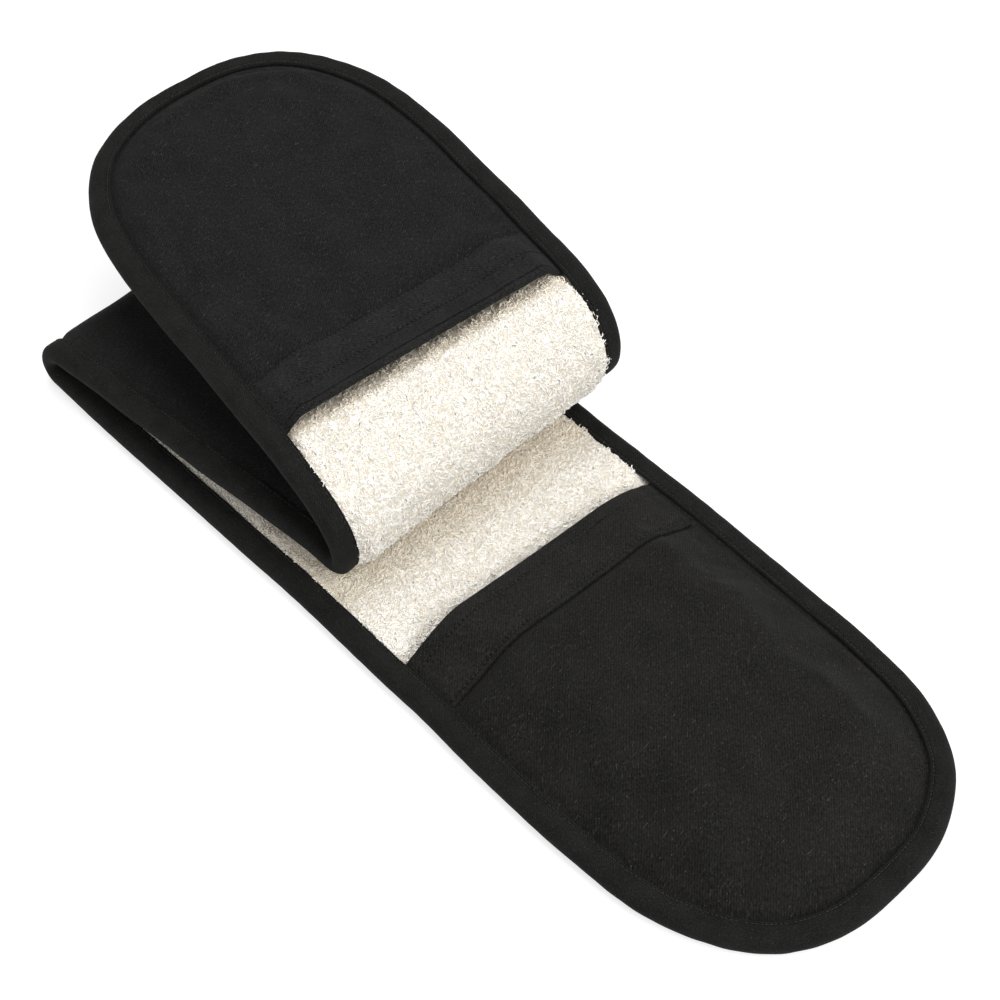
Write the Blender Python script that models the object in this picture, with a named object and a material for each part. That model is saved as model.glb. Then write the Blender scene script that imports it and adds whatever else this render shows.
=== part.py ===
"""Double oven glove: one long padded strip with a hand pocket at each round end.

The strip lies folded in three. Every piece is cut as a flat pattern, padded out
to its thickness, and laid along the strip's folded course. Along the course,
"run" is the distance from the lower pocket's tip, "side" the distance from the
centre line, and "rise" the height over the backing's face.
"""
from math import cos, hypot, pi, radians, sin

import bmesh
import bpy
from mathutils import Matrix, Vector

# Main sizes, in metres
strip_width = 0.170
pocket_straight = 0.100
pocket_tip_length = 0.1155
lower_reach = 0.240
middle_reach = 0.179
binding_width = 0.0101
hem_width = 0.0315
hem_turn_in = 0.0110

# Thicknesses, in metres
open_depth = 0.0095
pocket_floor_depth = 0.0062
pocket_flap_depth = 0.0052
binding_depth = 0.0100
backing_cloth = 0.0011
terry_pile = 0.0032
lining_cloth = 0.0008
hem_cloth = 0.0008
shell_cloth = 0.0011
binding_cloth = 0.0010
piece_gap = 0.0003

# How the flaps and floors of the pockets swell and sag, in metres
lower_flap_lift = 0.0143
lower_mouth_lift = 0.0130
lower_mouth_reach = 0.0600
lower_mouth_step = 0.0120
upper_flap_lift = 0.0045
upper_mouth_lift = 0.0062
upper_mouth_reach = 0.0300
upper_floor_sag = 0.0060
edge_softness = 0.0045
crown_softness = 0.0320
seam_groove_depth = 0.0012
seam_groove_reach = 0.0060
lip_reach = 0.0060
layer_inset = 0.0050

# Round end's outline: 2 is an ellipse, and more is fuller
tip_fullness_share = 2.6
# How far along the tip the centre seam of the patterns starts
spine_start_share = 0.5
# How much of a squeezed stack is terry
squeezed_terry_share = 0.4
# Radius of the hem band's turned edge, as a share of its cloth
hem_turn_share = 1.5
# How far each pocket's mouth is lifted, from one side of the strip to the other
lower_mouth_lift_shares = (0.95, 0.95, 0.55, 0.44, 0.44)
upper_mouth_lift_shares = (1.0, 1.0)
# How much of the upper pocket's sag is left at its mouth
mouth_sag_share = 0.3

# The folds: bend radii and lengths in metres, directions in degrees
rear_bend_radius = 0.0090
crease_radius = 0.0083
rise_length = 0.0490
upper_reach = 0.0200
start_lean = 180.0
rear_bend_lean = 2.0
middle_lean = 2.0
middle_end_lean = -6.0
crease_lean = 45.0
rise_leans = (85.0, 126.0, 161.0)
upper_mouth_lean = 177.0
tip_lean = 180.5
middle_yaw = 4.0
upper_yaw = -7.0
upper_roll = 4.2
# Directions of the strip where the folds' hinges sit
rear_hinge_leans = (135.0, 45.0)
front_hinge_leans = (42.0, 132.0)

# Facet counts
tip_steps = 8
rear_bend_steps = 12
middle_steps = 8
crease_steps = 5
rise_steps = 12
edge_arc_steps = 8
course_steps = 40
smooth_angle = 40.0

half_width = strip_width / 2
pocket_length = pocket_straight + pocket_tip_length
lower_end = pocket_length + lower_reach
rear_bend_end = lower_end + rear_bend_radius * radians(start_lean - rear_bend_lean)
middle_end = rear_bend_end + middle_reach
crease_end = middle_end + crease_radius * radians(crease_lean - middle_end_lean)
front_bend_end = crease_end + rise_length
total_length = front_bend_end + upper_reach + pocket_length


def plan_course():
    """Where the strip's direction changes: run, lean, yaw and roll."""
    knots = [
        (0.0, start_lean, 0.0, 0.0),
        (lower_end, start_lean, 0.0, 0.0),
        (rear_bend_end, rear_bend_lean, middle_yaw, 0.0),
        (rear_bend_end + middle_reach / 2, middle_lean, middle_yaw, 0.0),
        (middle_end, middle_end_lean, middle_yaw, 0.0),
        (crease_end, crease_lean, middle_yaw, 0.0),
    ]
    for count, lean in enumerate(rise_leans, start=1):
        share = count / len(rise_leans)
        yaw = middle_yaw + (upper_yaw - middle_yaw) * share
        knots.append((crease_end + rise_length * share, lean, yaw, upper_roll * share))
    knots.append((front_bend_end + upper_reach, upper_mouth_lean, upper_yaw, upper_roll))
    knots.append((total_length, tip_lean, upper_yaw, upper_roll))
    return knots


course_knots = plan_course()


def smooth_step(value, start, end):
    """Rises smoothly from 0 at start to 1 at end."""
    share = min(1.0, max(0.0, (value - start) / (end - start)))
    return share * share * (3 - 2 * share)


def mix(first, last, share):
    return first + (last - first) * share


def read_along(values, share):
    """Value at a share of the way along an evenly spaced list."""
    place = min(max(share, 0.0), 1.0) * (len(values) - 1)
    first = min(int(place), len(values) - 2)
    return mix(values[first], values[first + 1], place - first)


def axes_at(run):
    """Directions along the strip, across it, and up through its thickness."""
    for first, last in zip(course_knots, course_knots[1:]):
        if run <= last[0]:
            break
    share = (run - first[0]) / (last[0] - first[0])
    share = min(1.0, max(0.0, share))
    lean, yaw, roll = [radians(mix(a, b, share)) for a, b in zip(first[1:], last[1:])]
    along = Vector((cos(lean) * cos(yaw), cos(lean) * sin(yaw), sin(lean)))
    level = Vector((-sin(yaw), cos(yaw), 0))
    upward = level.cross(along)
    across = level * cos(roll) + upward * sin(roll)
    return along, across, across.cross(along)


def trace_course():
    """Centre line of the strip, summed in short steps between the knots."""
    traced = [(0.0, Vector((pocket_length, 0, open_depth / 2)))]
    for first, last in zip(course_knots, course_knots[1:]):
        step = (last[0] - first[0]) / course_steps
        for count in range(course_steps):
            point = traced[-1][1] + axes_at(first[0] + step * (count + 0.5))[0] * step
            traced.append((first[0] + step * (count + 1), point))
    return traced


course = trace_course()


def centre_at(run):
    """Point of the centre line at a distance along the course."""
    for start, end in zip(course, course[1:]):
        if run <= end[0]:
            break
    return start[1].lerp(end[1], (run - start[0]) / (end[0] - start[0]))


def laid(run, side, rise):
    """Place of a point given along, across and up through the strip."""
    along, across, upward = axes_at(run)
    return centre_at(run) + across * side + upward * (rise - open_depth / 2)


def run_at_lean(lean, start, end):
    """Distance along a bend at which the strip points in a direction."""
    for first, last in zip(course_knots, course_knots[1:]):
        inside = start - piece_gap < first[0] and last[0] < end + piece_gap
        if inside and min(first[1], last[1]) <= lean <= max(first[1], last[1]):
            return mix(first[0], last[0], (lean - first[1]) / (last[1] - first[1]))


def half_outline(far_reach, stops):
    """One side of an end panel's outline, from its far end to the tip's point.

    Each entry is a reach from the tip, a side, and the outward direction.
    """
    points = [(reach, half_width, 0.0, 1.0) for reach in [far_reach] + stops]
    power = tip_fullness_share
    for step in range(tip_steps + 1):
        angle = pi / 2 * (1 - step / tip_steps)
        forward = abs(cos(angle)) ** (2 / power)
        sideways = abs(sin(angle)) ** (2 / power)
        slope = forward ** (power - 1) / pocket_tip_length
        flank = sideways ** (power - 1) / half_width
        size = hypot(slope, flank)
        place = pocket_tip_length * (1 - forward), half_width * sideways
        points.append((*place, slope / size, flank / size))
    return points


def whole_outline(far_reach, stops):
    """An end panel's outline: up one side, round the tip and down the other."""
    near = half_outline(far_reach, stops)
    far = [(reach, -side, slope, -flank) for reach, side, slope, flank in near]
    return far + near[-2::-1]


def edge_distance(reach, side):
    """About how far a flat place lies inside the strip's edge."""
    power = tip_fullness_share
    forward = max(0.0, pocket_tip_length - reach) / pocket_tip_length
    sideways = abs(side) / half_width
    level = (forward ** power + sideways ** power) ** (1 / power)
    if level == 0:
        return half_width
    slope = (forward / level) ** (power - 1) / pocket_tip_length
    flank = (sideways / level) ** (power - 1) / half_width
    return (1 - level) / hypot(slope, flank)


# Heights within the binding's grip, over the backing's face
grip_start = binding_cloth + piece_gap
grip_end = binding_depth - grip_start
grip_split = (grip_start + grip_end) / 2
binding_edge = binding_width + piece_gap

# Rows of every pattern, counted in from the strip's edge
edge_insets = [
    layer_inset,
    binding_edge,
    binding_edge + edge_softness,
    binding_edge + crown_softness / 2,
    binding_edge + crown_softness,
]
flat_insets = edge_insets[:edge_insets.index(binding_edge + edge_softness) + 1]

# Rows of the pockets' patterns, counted in from the mouth
seam_start = hem_width - seam_groove_reach
seam_end = hem_width + seam_groove_reach
flap_ways = [
    lip_reach,
    hem_turn_in,
    (hem_turn_in + seam_start) / 2,
    seam_start,
    hem_width,
    seam_end,
    (seam_end + lower_mouth_reach) / 2,
    lower_mouth_reach,
]

lower_pocket = {
    "flap_lift": lower_flap_lift,
    "mouth_lift": lower_mouth_lift,
    "mouth_lift_shares": lower_mouth_lift_shares,
    "mouth_reach": lower_mouth_reach,
    "mouth_step": lower_mouth_step,
    "floor_sag": 0.0,
    "floor_ways": [lower_mouth_reach],
}
upper_pocket = {
    "flap_lift": upper_flap_lift,
    "mouth_lift": upper_mouth_lift,
    "mouth_lift_shares": upper_mouth_lift_shares,
    "mouth_reach": upper_mouth_reach,
    "mouth_step": upper_reach,
    "floor_sag": upper_floor_sag,
    "floor_ways": flap_ways,
}


def swell(reach, side):
    """Two measures from 0 at the binding to 1: full padding, and full crown."""
    inside = edge_distance(reach, side)
    full = smooth_step(inside, binding_edge, binding_edge + edge_softness)
    return full, smooth_step(inside, binding_edge, binding_edge + crown_softness)


def near_mouth(reach, pocket):
    """Rises from 0 inside the pocket to 1 at its mouth."""
    return smooth_step(reach, pocket_length - pocket["mouth_reach"], pocket_length)


def floor_faces(reach, side, pocket):
    """Underside and upper face of the strip itself."""
    full, domed = swell(reach, side)
    opened = smooth_step(reach, pocket_length, pocket_length + pocket["mouth_step"])
    squeezed = mix(grip_split - piece_gap / 2, grip_end, opened)
    loose = mix(pocket_floor_depth, open_depth, opened)
    left = mix(1.0, mouth_sag_share, near_mouth(reach, pocket))
    drop = pocket["floor_sag"] * left * (1 - opened) * domed
    return grip_start * (1 - full) - drop, mix(squeezed, loose, full) - drop


def flap_faces(reach, side, pocket):
    """Inner and outer face of a pocket's padded flap."""
    full, domed = swell(reach, side)
    mouth_share = read_along(pocket["mouth_lift_shares"], (side + half_width) / strip_width)
    mouth_lift = pocket["mouth_lift"] * mouth_share
    squeezed = grip_split + piece_gap / 2
    low = mix(squeezed, pocket_floor_depth + piece_gap, full)
    low += mix(pocket["flap_lift"], mouth_lift, near_mouth(reach, pocket)) * domed
    depth = mix(grip_end - squeezed, pocket_flap_depth, full)
    from_seam = abs(reach - pocket_length + hem_width)
    groove = 1 - smooth_step(from_seam, 0.0, seam_groove_reach)
    return low, low + depth - seam_groove_depth * groove * full


def backing_part(low, high):
    return low, low + backing_cloth


def terry_part(low, high):
    return high - min(terry_pile, (high - low) * squeezed_terry_share), high


def wadding_part(low, high):
    return low + backing_cloth + piece_gap, terry_part(low, high)[0] - piece_gap


def lining_part(low, high):
    return low, low + lining_cloth


def shell_part(low, high):
    return high - shell_cloth, high


def flap_wadding_part(low, high):
    return low + lining_cloth + piece_gap, high - shell_cloth - piece_gap


def binding_section():
    """Folded tape's outer and inner face, as insets from the edge and rises."""
    middle = binding_depth / 2
    outer, inner = [(binding_width, binding_depth)], [(binding_width, grip_end + piece_gap)]
    for step in range(edge_arc_steps + 1):
        angle = pi * step / edge_arc_steps
        for points, radius in ((outer, middle), (inner, middle - binding_cloth)):
            points.append((middle - radius * sin(angle), middle + radius * cos(angle)))
    outer.append((binding_width, 0.0))
    inner.append((binding_width, binding_cloth))
    return outer, inner


def hem_section():
    """Hem band folded over the flap's mouth, from its seam to its inner end.

    Each entry is the way in from the mouth, which face of the flap it follows
    (0 inner, 1 outer) and how deep it lies, on the band's outside and inside.
    """
    turn = hem_turn_share * hem_cloth
    ways = [hem_width - piece_gap]
    ways += [way for way in flap_ways[::-1] if way < hem_width - piece_gap]
    outer = [(way, 1, 0.0) for way in ways if way > turn] + [(turn, 1, 0.0), (0.0, 1, turn)]
    inner = [(way, 1, hem_cloth) for way in ways if way > turn]
    inner += [(turn, 1, hem_cloth), (hem_cloth, 1, turn)]
    back_ways = [way for way in reversed(ways) if turn < way <= hem_turn_in]
    outer += [(0.0, 0, turn), (turn, 0, 0.0)] + [(way, 0, 0.0) for way in back_ways]
    inner += [(hem_cloth, 0, turn), (turn, 0, hem_cloth)]
    inner += [(way, 0, hem_cloth) for way in back_ways]
    return outer, inner


glove = bpy.data.collections.new("double_oven_glove")
pivot_places = {}


def make_material(name, colour, roughness):
    material = bpy.data.materials.new(name)
    material.use_nodes = True
    shader = material.node_tree.nodes["Principled BSDF"]
    shader.inputs["Base Color"].default_value = (*colour, 1)
    shader.inputs["Roughness"].default_value = roughness
    shader.inputs["Metallic"].default_value = 0
    return material


def make_pivot(name, place, parent=None):
    """Empty on a joint's axis; what turns about that axis is parented to it."""
    pivot = bpy.data.objects.new(name, None)
    pivot.empty_display_size = binding_width
    pivot.location = place
    if parent:
        pivot.parent = parent
        pivot.location = place - pivot_places[parent.name]
    pivot_places[name] = place
    glove.objects.link(pivot)
    return pivot


def make_piece(name, size, low_point, high_point, look, pivot, seamed=False):
    """One padded piece: a grid laid on its low face and raised to its high face.

    size is the number of columns and rows, and low_point and high_point give
    the place of a column and a row. A seamed piece has its last row folded on
    itself, with the two halves joined.
    """
    columns, rows = size
    mesh = bmesh.new()
    spread = Matrix.Diagonal((columns, rows, 1, 1)) @ Matrix.Translation((0.5, 0.5, 0))
    bmesh.ops.create_grid(mesh, x_segments=columns, y_segments=rows, size=0.5, matrix=spread)
    if seamed:
        last_row = {round(v.co.x): v for v in mesh.verts if round(v.co.y) == rows}
        pairs = {last_row[columns - place]: last_row[place] for place in range(columns // 2)}
        bmesh.ops.weld_verts(mesh, targetmap=pairs)
    raised = bmesh.ops.extrude_face_region(mesh, geom=mesh.faces[:])
    high_vertices = {item for item in raised["geom"] if isinstance(item, bmesh.types.BMVert)}
    for vertex in mesh.verts:
        point = high_point if vertex in high_vertices else low_point
        place = point(round(vertex.co.x), round(vertex.co.y))
        vertex.co = place - pivot_places[pivot.name]
    bmesh.ops.recalc_face_normals(mesh, faces=mesh.faces[:])
    if mesh.calc_volume(signed=True) < 0:
        bmesh.ops.reverse_faces(mesh, faces=mesh.faces[:])
    data = bpy.data.meshes.new(name)
    mesh.to_mesh(data)
    mesh.free()
    data.shade_smooth()
    data.set_sharp_from_angle(angle=radians(smooth_angle))
    data.materials.append(look)
    piece = bpy.data.objects.new(name, data)
    piece.parent = pivot
    glove.objects.link(piece)


def make_end_panel(name, to_run, far_reach, pocket, looks, pivot):
    """A round end of the strip with its binding and its pocket.

    to_run turns a reach from the tip into a distance along the course.
    """
    def floor(reach, side):
        return floor_faces(reach, side, pocket)

    def flap(reach, side):
        return flap_faces(reach, side, pocket)

    def make_layer(layer, outline, faces, part, look):
        def face(which):
            def point(column, row):
                reach, side, slope, flank = outline[column]
                if row < len(edge_insets):
                    inset = edge_insets[row]
                    reach, side = reach + slope * inset, side - flank * inset
                else:
                    past_tip = min(1.0, reach / pocket_tip_length)
                    spine = mix(spine_start_share, 1.0, past_tip) * pocket_tip_length
                    reach, side = max(reach, spine), 0.0
                rise = part(*faces(reach, side))[which]
                return laid(to_run(reach), side, rise)
            return point

        size = len(outline) - 1, len(edge_insets)
        make_piece(f"{name}_{layer}", size, face(0), face(1), look, pivot, seamed=True)

    step = pocket["mouth_step"]
    floor_rows = [pocket_length + step / 2, pocket_length + piece_gap]
    if pocket_length + step < far_reach - lip_reach:
        floor_rows = [pocket_length + step] + floor_rows
    floor_rows += [pocket_length - way for way in pocket["floor_ways"]]
    floor_outline = whole_outline(far_reach, floor_rows)
    flap_rows = [pocket_length - way for way in flap_ways]
    make_layer("backing", floor_outline, floor, backing_part, looks["twill"])
    make_layer("wadding", floor_outline, floor, wadding_part, looks["wadding"])
    make_layer("terry", floor_outline, floor, terry_part, looks["terry"])

    for layer, way, part, look in (
        ("pocket_lining", hem_turn_in + piece_gap, lining_part, "lining"),
        ("pocket_wadding", hem_cloth + piece_gap, flap_wadding_part, "wadding"),
        ("pocket_shell", hem_width + piece_gap, shell_part, "twill"),
    ):
        stops = [reach for reach in flap_rows if reach < pocket_length - way - piece_gap]
        outline = whole_outline(pocket_length - way, stops)
        make_layer(layer, outline, flap, part, looks[look])

    hem_outer, hem_inner = hem_section()
    sides = [half_width - inset for inset in edge_insets]
    hem_sides = [-side for side in sides] + [0.0] + sides[::-1]

    def hem_face(section):
        def point(column, row):
            way, outside, depth = section[row]
            side = hem_sides[column]
            reach = pocket_length - way
            low, high = flap(reach, side)
            rise = high - depth if outside else low + depth
            return laid(to_run(reach), side, rise)
        return point

    size = len(hem_sides) - 1, len(hem_outer) - 1
    low, high = hem_face(hem_inner), hem_face(hem_outer)
    make_piece(f"{name}_pocket_hem", size, low, high, looks["twill"], pivot)

    def tape_face(section):
        def point(column, row):
            reach, side, slope, flank = floor_outline[column]
            inset, rise = section[row]
            reach, side = reach + slope * inset, side - flank * inset
            return laid(to_run(reach), side, rise)
        return point

    outer, inner = binding_section()
    size = len(floor_outline) - 1, len(outer) - 1
    low, high = tape_face(inner), tape_face(outer)
    make_piece(f"{name}_binding", size, low, high, looks["binding"], pivot)


def make_span(name, runs, looks, pivot):
    """A length of the strip between its ends: three layers and two bindings."""
    sides = [half_width - inset for inset in flat_insets]
    sides = [-side for side in sides] + sides[::-1]

    def layer_face(part, which):
        def point(column, row):
            rise = part(*floor_faces(lower_end, sides[row], lower_pocket))[which]
            return laid(runs[column], sides[row], rise)
        return point

    for layer, part, look in (
        ("backing", backing_part, "twill"),
        ("wadding", wadding_part, "wadding"),
        ("terry", terry_part, "terry"),
    ):
        size = len(runs) - 1, len(sides) - 1
        low, high = layer_face(part, 0), layer_face(part, 1)
        make_piece(f"{name}_{layer}", size, low, high, looks[look], pivot)

    def tape_face(section, hand):
        def point(column, row):
            inset, rise = section[row]
            return laid(runs[column], hand * (half_width - inset), rise)
        return point

    outer, inner = binding_section()
    for edge, hand in (("near", -1), ("far", 1)):
        size = len(runs) - 1, len(outer) - 1
        low, high = tape_face(inner, hand), tape_face(outer, hand)
        make_piece(f"{name}_binding_{edge}", size, low, high, looks["binding"], pivot)


def evenly(start, end, steps):
    return [mix(start, end, step / steps) for step in range(steps + 1)]


def trimmed(runs):
    """Runs of a span, drawn in at each end so that it clears its neighbours."""
    return [runs[0] + piece_gap / 2] + runs[1:-1] + [runs[-1] - piece_gap / 2]


def centre_on_origin(root):
    """Puts the middle of the part's underside at the origin."""
    bpy.context.view_layer.update()
    pieces = [item for item in glove.objects if item.type == "MESH"]
    corners = []
    for piece in pieces:
        corners += [piece.matrix_world @ Vector(corner) for corner in piece.bound_box]
    lows = [min(corner[axis] for corner in corners) for axis in range(3)]
    highs = [max(corner[axis] for corner in corners) for axis in range(3)]
    middle_x, middle_y = (lows[0] + highs[0]) / 2, (lows[1] + highs[1]) / 2
    root.location = -middle_x, -middle_y, -lows[2]
    bpy.context.view_layer.update()


def build():
    for item in list(bpy.data.objects):
        bpy.data.objects.remove(item, do_unlink=True)
    bpy.context.scene.collection.children.link(glove)
    looks = {
        "twill": make_material("black_twill", (0.012, 0.012, 0.013), 0.85),
        "binding": make_material("black_bias_binding", (0.010, 0.010, 0.011), 0.8),
        "terry": make_material("cream_terry", (0.80, 0.74, 0.64), 0.95),
        "wadding": make_material("white_wadding", (0.78, 0.78, 0.76), 0.95),
        "lining": make_material("black_lining", (0.015, 0.015, 0.016), 0.8),
    }

    root = make_pivot("lower_panel_base", Vector((0, 0, 0)))
    rear_start = run_at_lean(rear_hinge_leans[0], lower_end, rear_bend_end)
    rear_finish = run_at_lean(rear_hinge_leans[1], lower_end, rear_bend_end)
    front_start = run_at_lean(front_hinge_leans[0], middle_end, front_bend_end)
    front_finish = run_at_lean(front_hinge_leans[1], middle_end, front_bend_end)
    rear_fold = make_pivot("rear_fold_pivot", centre_at(rear_start), root)
    middle = make_pivot("middle_pivot", centre_at(rear_finish), rear_fold)
    front_fold = make_pivot("front_fold_pivot", centre_at(front_start), middle)
    upper = make_pivot("upper_panel_pivot", centre_at(front_finish), front_fold)

    lower_far = lower_end - piece_gap / 2
    upper_far = total_length - front_bend_end - piece_gap / 2
    make_end_panel("lower", lambda reach: reach, lower_far, lower_pocket, looks, root)
    rear_runs = evenly(lower_end, rear_bend_end, rear_bend_steps)
    make_span("rear_fold", trimmed(rear_runs), looks, rear_fold)
    make_span("middle", trimmed(evenly(rear_bend_end, middle_end, middle_steps)), looks, middle)
    front_runs = evenly(middle_end, crease_end, crease_steps)
    front_runs += evenly(crease_end, front_bend_end, rise_steps)[1:]
    make_span("front_fold", trimmed(front_runs), looks, front_fold)
    from_end = lambda reach: total_length - reach
    make_end_panel("upper", from_end, upper_far, upper_pocket, looks, upper)
    centre_on_origin(root)


build()
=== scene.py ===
"""Looks of the double oven glove: twill, terry, binding, stitching and the studio.

The glove is one padded strip that lies folded in three. A place on it is given
by run, the distance along the strip from the lower pocket's tip, by side, the
distance from its centre line, and by rise, the height over the backing's face.
"""
from math import cos, pi, radians, sin

import bmesh
import bpy
import numpy as np
from bpy.props import FloatProperty, FloatVectorProperty, IntProperty, PointerProperty
from mathutils import Matrix, Quaternion, Vector


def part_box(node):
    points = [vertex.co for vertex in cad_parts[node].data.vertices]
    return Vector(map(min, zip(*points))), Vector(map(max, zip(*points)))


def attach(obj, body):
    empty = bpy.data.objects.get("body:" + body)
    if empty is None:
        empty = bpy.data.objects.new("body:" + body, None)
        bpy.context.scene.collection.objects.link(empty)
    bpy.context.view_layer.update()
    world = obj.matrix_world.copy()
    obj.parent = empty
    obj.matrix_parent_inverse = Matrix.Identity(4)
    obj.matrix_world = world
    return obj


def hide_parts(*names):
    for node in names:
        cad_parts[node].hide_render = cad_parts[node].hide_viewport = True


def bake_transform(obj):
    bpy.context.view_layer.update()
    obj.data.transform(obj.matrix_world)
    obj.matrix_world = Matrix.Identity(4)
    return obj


bl_info = {
    "name": "Double Oven Glove",
    "version": (1, 0, 0),
    "blender": (4, 5, 0),
    "location": "3D View > Sidebar > Oven Glove",
    "description": "Dresses a folded double oven glove in twill, terry and binding",
    "category": "Object",
}

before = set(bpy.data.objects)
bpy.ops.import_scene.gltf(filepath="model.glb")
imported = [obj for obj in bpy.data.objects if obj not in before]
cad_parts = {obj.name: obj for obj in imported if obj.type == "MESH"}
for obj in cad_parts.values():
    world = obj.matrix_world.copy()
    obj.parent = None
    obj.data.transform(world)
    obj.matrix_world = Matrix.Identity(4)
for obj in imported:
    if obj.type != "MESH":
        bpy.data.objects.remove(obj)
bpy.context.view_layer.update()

# Sizes of the strip, in metres, as the solids have them
strip_width = 0.170
pocket_straight = 0.100
pocket_tip_length = 0.1155
lower_reach = 0.240
middle_reach = 0.179
upper_reach = 0.0200
binding_depth = 0.0100
open_depth = 0.0095
pocket_floor_depth = 0.0062
pocket_flap_depth = 0.0052
hem_width = 0.0315
hem_turn_in = 0.0110
backing_cloth = 0.0011
shell_cloth = 0.0011
lining_cloth = 0.0008
hem_cloth = 0.0008
binding_cloth = 0.0010
terry_pile = 0.0032
piece_gap = 0.0003
edge_softness = 0.0045
crown_softness = 0.0320
tip_fullness_share = 2.6

# Course of the folds: radii and lengths in metres, directions in degrees
rear_bend_radius = 0.0090
crease_radius = 0.0083
rise_length = 0.0490
start_lean = 180.0
rear_bend_lean = 2.0
middle_lean = 2.0
middle_end_lean = -6.0
crease_lean = 45.0
rise_leans = (85.0, 126.0, 161.0)
upper_mouth_lean = 177.0
tip_lean = 180.5
rear_hinge_leans = (135.0, 45.0)
front_hinge_leans = (42.0, 132.0)
middle_yaw = 4.0
upper_yaw = -7.0
upper_roll = 4.2
course_step = 0.00025

half_width = strip_width / 2
pocket_length = pocket_straight + pocket_tip_length
lower_end = pocket_length + lower_reach
rear_bend_end = lower_end + rear_bend_radius * radians(start_lean - rear_bend_lean)
middle_end = rear_bend_end + middle_reach
crease_end = middle_end + crease_radius * radians(crease_lean - middle_end_lean)
front_bend_end = crease_end + rise_length
total_length = front_bend_end + upper_reach + pocket_length

# Rises within the binding's grip
grip_start = binding_cloth + piece_gap
grip_end = binding_depth - grip_start
grip_split = (grip_start + grip_end) / 2

# Reach of the visible tape, laid wider than its solid because the photo shows it so
binding_width = 0.0114
binding_edge = binding_width + piece_gap

# How the pockets' flaps and floors swell, sag and open. Edge shifts are pairs:
# a way along the sewn edge from the near side round to the far side, and how
# far out the edge lies there.
lower_pocket = {
    "name": "lower",
    "body": "lower_panel",
    "flap_lift": 0.0143,
    "mouth_lift": 0.0130,
    "mouth_lift_shares": (0.78, 0.80, 0.50, 0.38, 0.38),
    "mouth_softness": 0.0320,
    "mouth_reach": 0.0600,
    "mouth_step": 0.0120,
    "floor_sag": 0.0,
    "stitch_ways": (0.0080, 0.0285),
    "seam_gap": 0.0009,
    "seam_drop": 0.0024,
    "lip_groove": 0.0,
    "tint": (1.05, 1.01, 0.96),
    "hem_tone": 1.20,
    "seam_groove": (0.0012, 0.0060),
    "edge_shifts": (
        (-0.562, 0.0020), (-0.500, 0.0022), (-0.472, 0.0017), (-0.443, 0.0007), (-0.412, 0.0004),
        (-0.382, -0.0010), (-0.352, -0.0012), (-0.322, -0.0008), (-0.292, -0.0007), (-0.262, -0.0004),
        (-0.233, 0.0007), (-0.205, 0.0002), (-0.170, -0.0003), (-0.136, -0.0001), (-0.097, -0.0003),
        (-0.056, -0.0003), (-0.020, 0.0002), (0.016, -0.0010), (0.046, -0.0016), (0.084, -0.0001),
        (0.124, 0.0002), (0.162, -0.0010), (0.199, -0.0003), (0.227, 0.0001), (0.257, 0.0016),
        (0.287, 0.0015), (0.318, 0.0012), (0.378, 0.0012), (0.440, 0.0), (0.562, 0.0),
    ),
}
upper_pocket = {
    "name": "upper",
    "body": "upper_panel",
    "flap_lift": 0.0045,
    "mouth_lift": 0.0040,
    "mouth_lift_shares": (1.0, 1.0, 1.0, 1.0, 1.0),
    "mouth_softness": 0.0100,
    "mouth_reach": 0.0300,
    "mouth_step": upper_reach,
    "floor_sag": 0.0060,
    "stitch_ways": (0.0140, 0.0296),
    "seam_gap": 0.0004,
    "seam_drop": 0.0012,
    "lip_groove": 0.0013,
    "tint": (0.98, 1.02, 1.00),
    "hem_tone": 1.36,
    "seam_groove": (0.0020, 0.0042),
    "edge_shifts": (
        (-0.562, 0.0020), (-0.500, 0.0010), (-0.468, 0.0018), (-0.427, 0.0), (-0.389, -0.0025),
        (-0.365, -0.0018), (-0.320, 0.0), (-0.192, 0.0003), (-0.159, 0.0004), (-0.122, 0.0010),
        (-0.082, 0.0011), (-0.042, 0.0006), (-0.009, 0.0031), (0.026, 0.0040), (0.065, 0.0020),
        (0.106, 0.0008), (0.143, 0.0012), (0.176, 0.0019), (0.239, 0.0019), (0.268, 0.0018),
        (0.297, 0.0014), (0.330, -0.0016), (0.360, -0.0010), (0.420, 0.0), (0.562, 0.0),
    ),
}
mouth_sag_share = 0.3
edge_ways = np.linspace(-0.562, 0.562, 563)
edge_rounding = 25

# Cells of the meshes, in metres
cloth_cell = 0.0022
pad_cell = 0.0050
tape_cell = 0.0016

# Fine forms of the cloths that the solids leave out, in metres
pucker_height = 0.00025
pucker_length = 0.0090
pucker_reach = 0.0140
wave_height = 0.0006
wave_length = 0.0700
ripple_stretch = 0.3
flap_softness = 0.0120
tape_dip = 0.0011
tape_dip_reach = 0.0026
stitch_span = (0.12, 0.88)
stitch_bow = 1.6
stitch_sink = 0.5
thread_sides = 5
yarn_sides = 3
path_points = 5

# Those of the tape: its wobble, its lift, and how its edge is turned in
wobble_height = 0.00025
wobble_length = 0.0450
lift_height = 0.00020
lift_length = 0.0110
tape_turn_in = (
    (0.0, -0.0014), (0.0003, -0.0004), (0.0009, -0.0001),
    (0.0016, -0.0004), (0.0024, -0.0001), (0.0036, 0.0),
)
tape_turns = 14
stitch_row = 3

# Those of the hem bands: the lip's line, ways in from the mouth or from the
# seam, and how far the edge at the seam is turned down
lip_line_reach = 0.0005
hem_edge_ways = (0.0, 0.0002, 0.0005, 0.0010)
hem_edge_drops = (0.0020, 0.0006, 0.0001)
hem_face_ways = (0.0020, 0.0042)
hem_lip_way = 0.0040
shell_tuck = 0.0040

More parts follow.
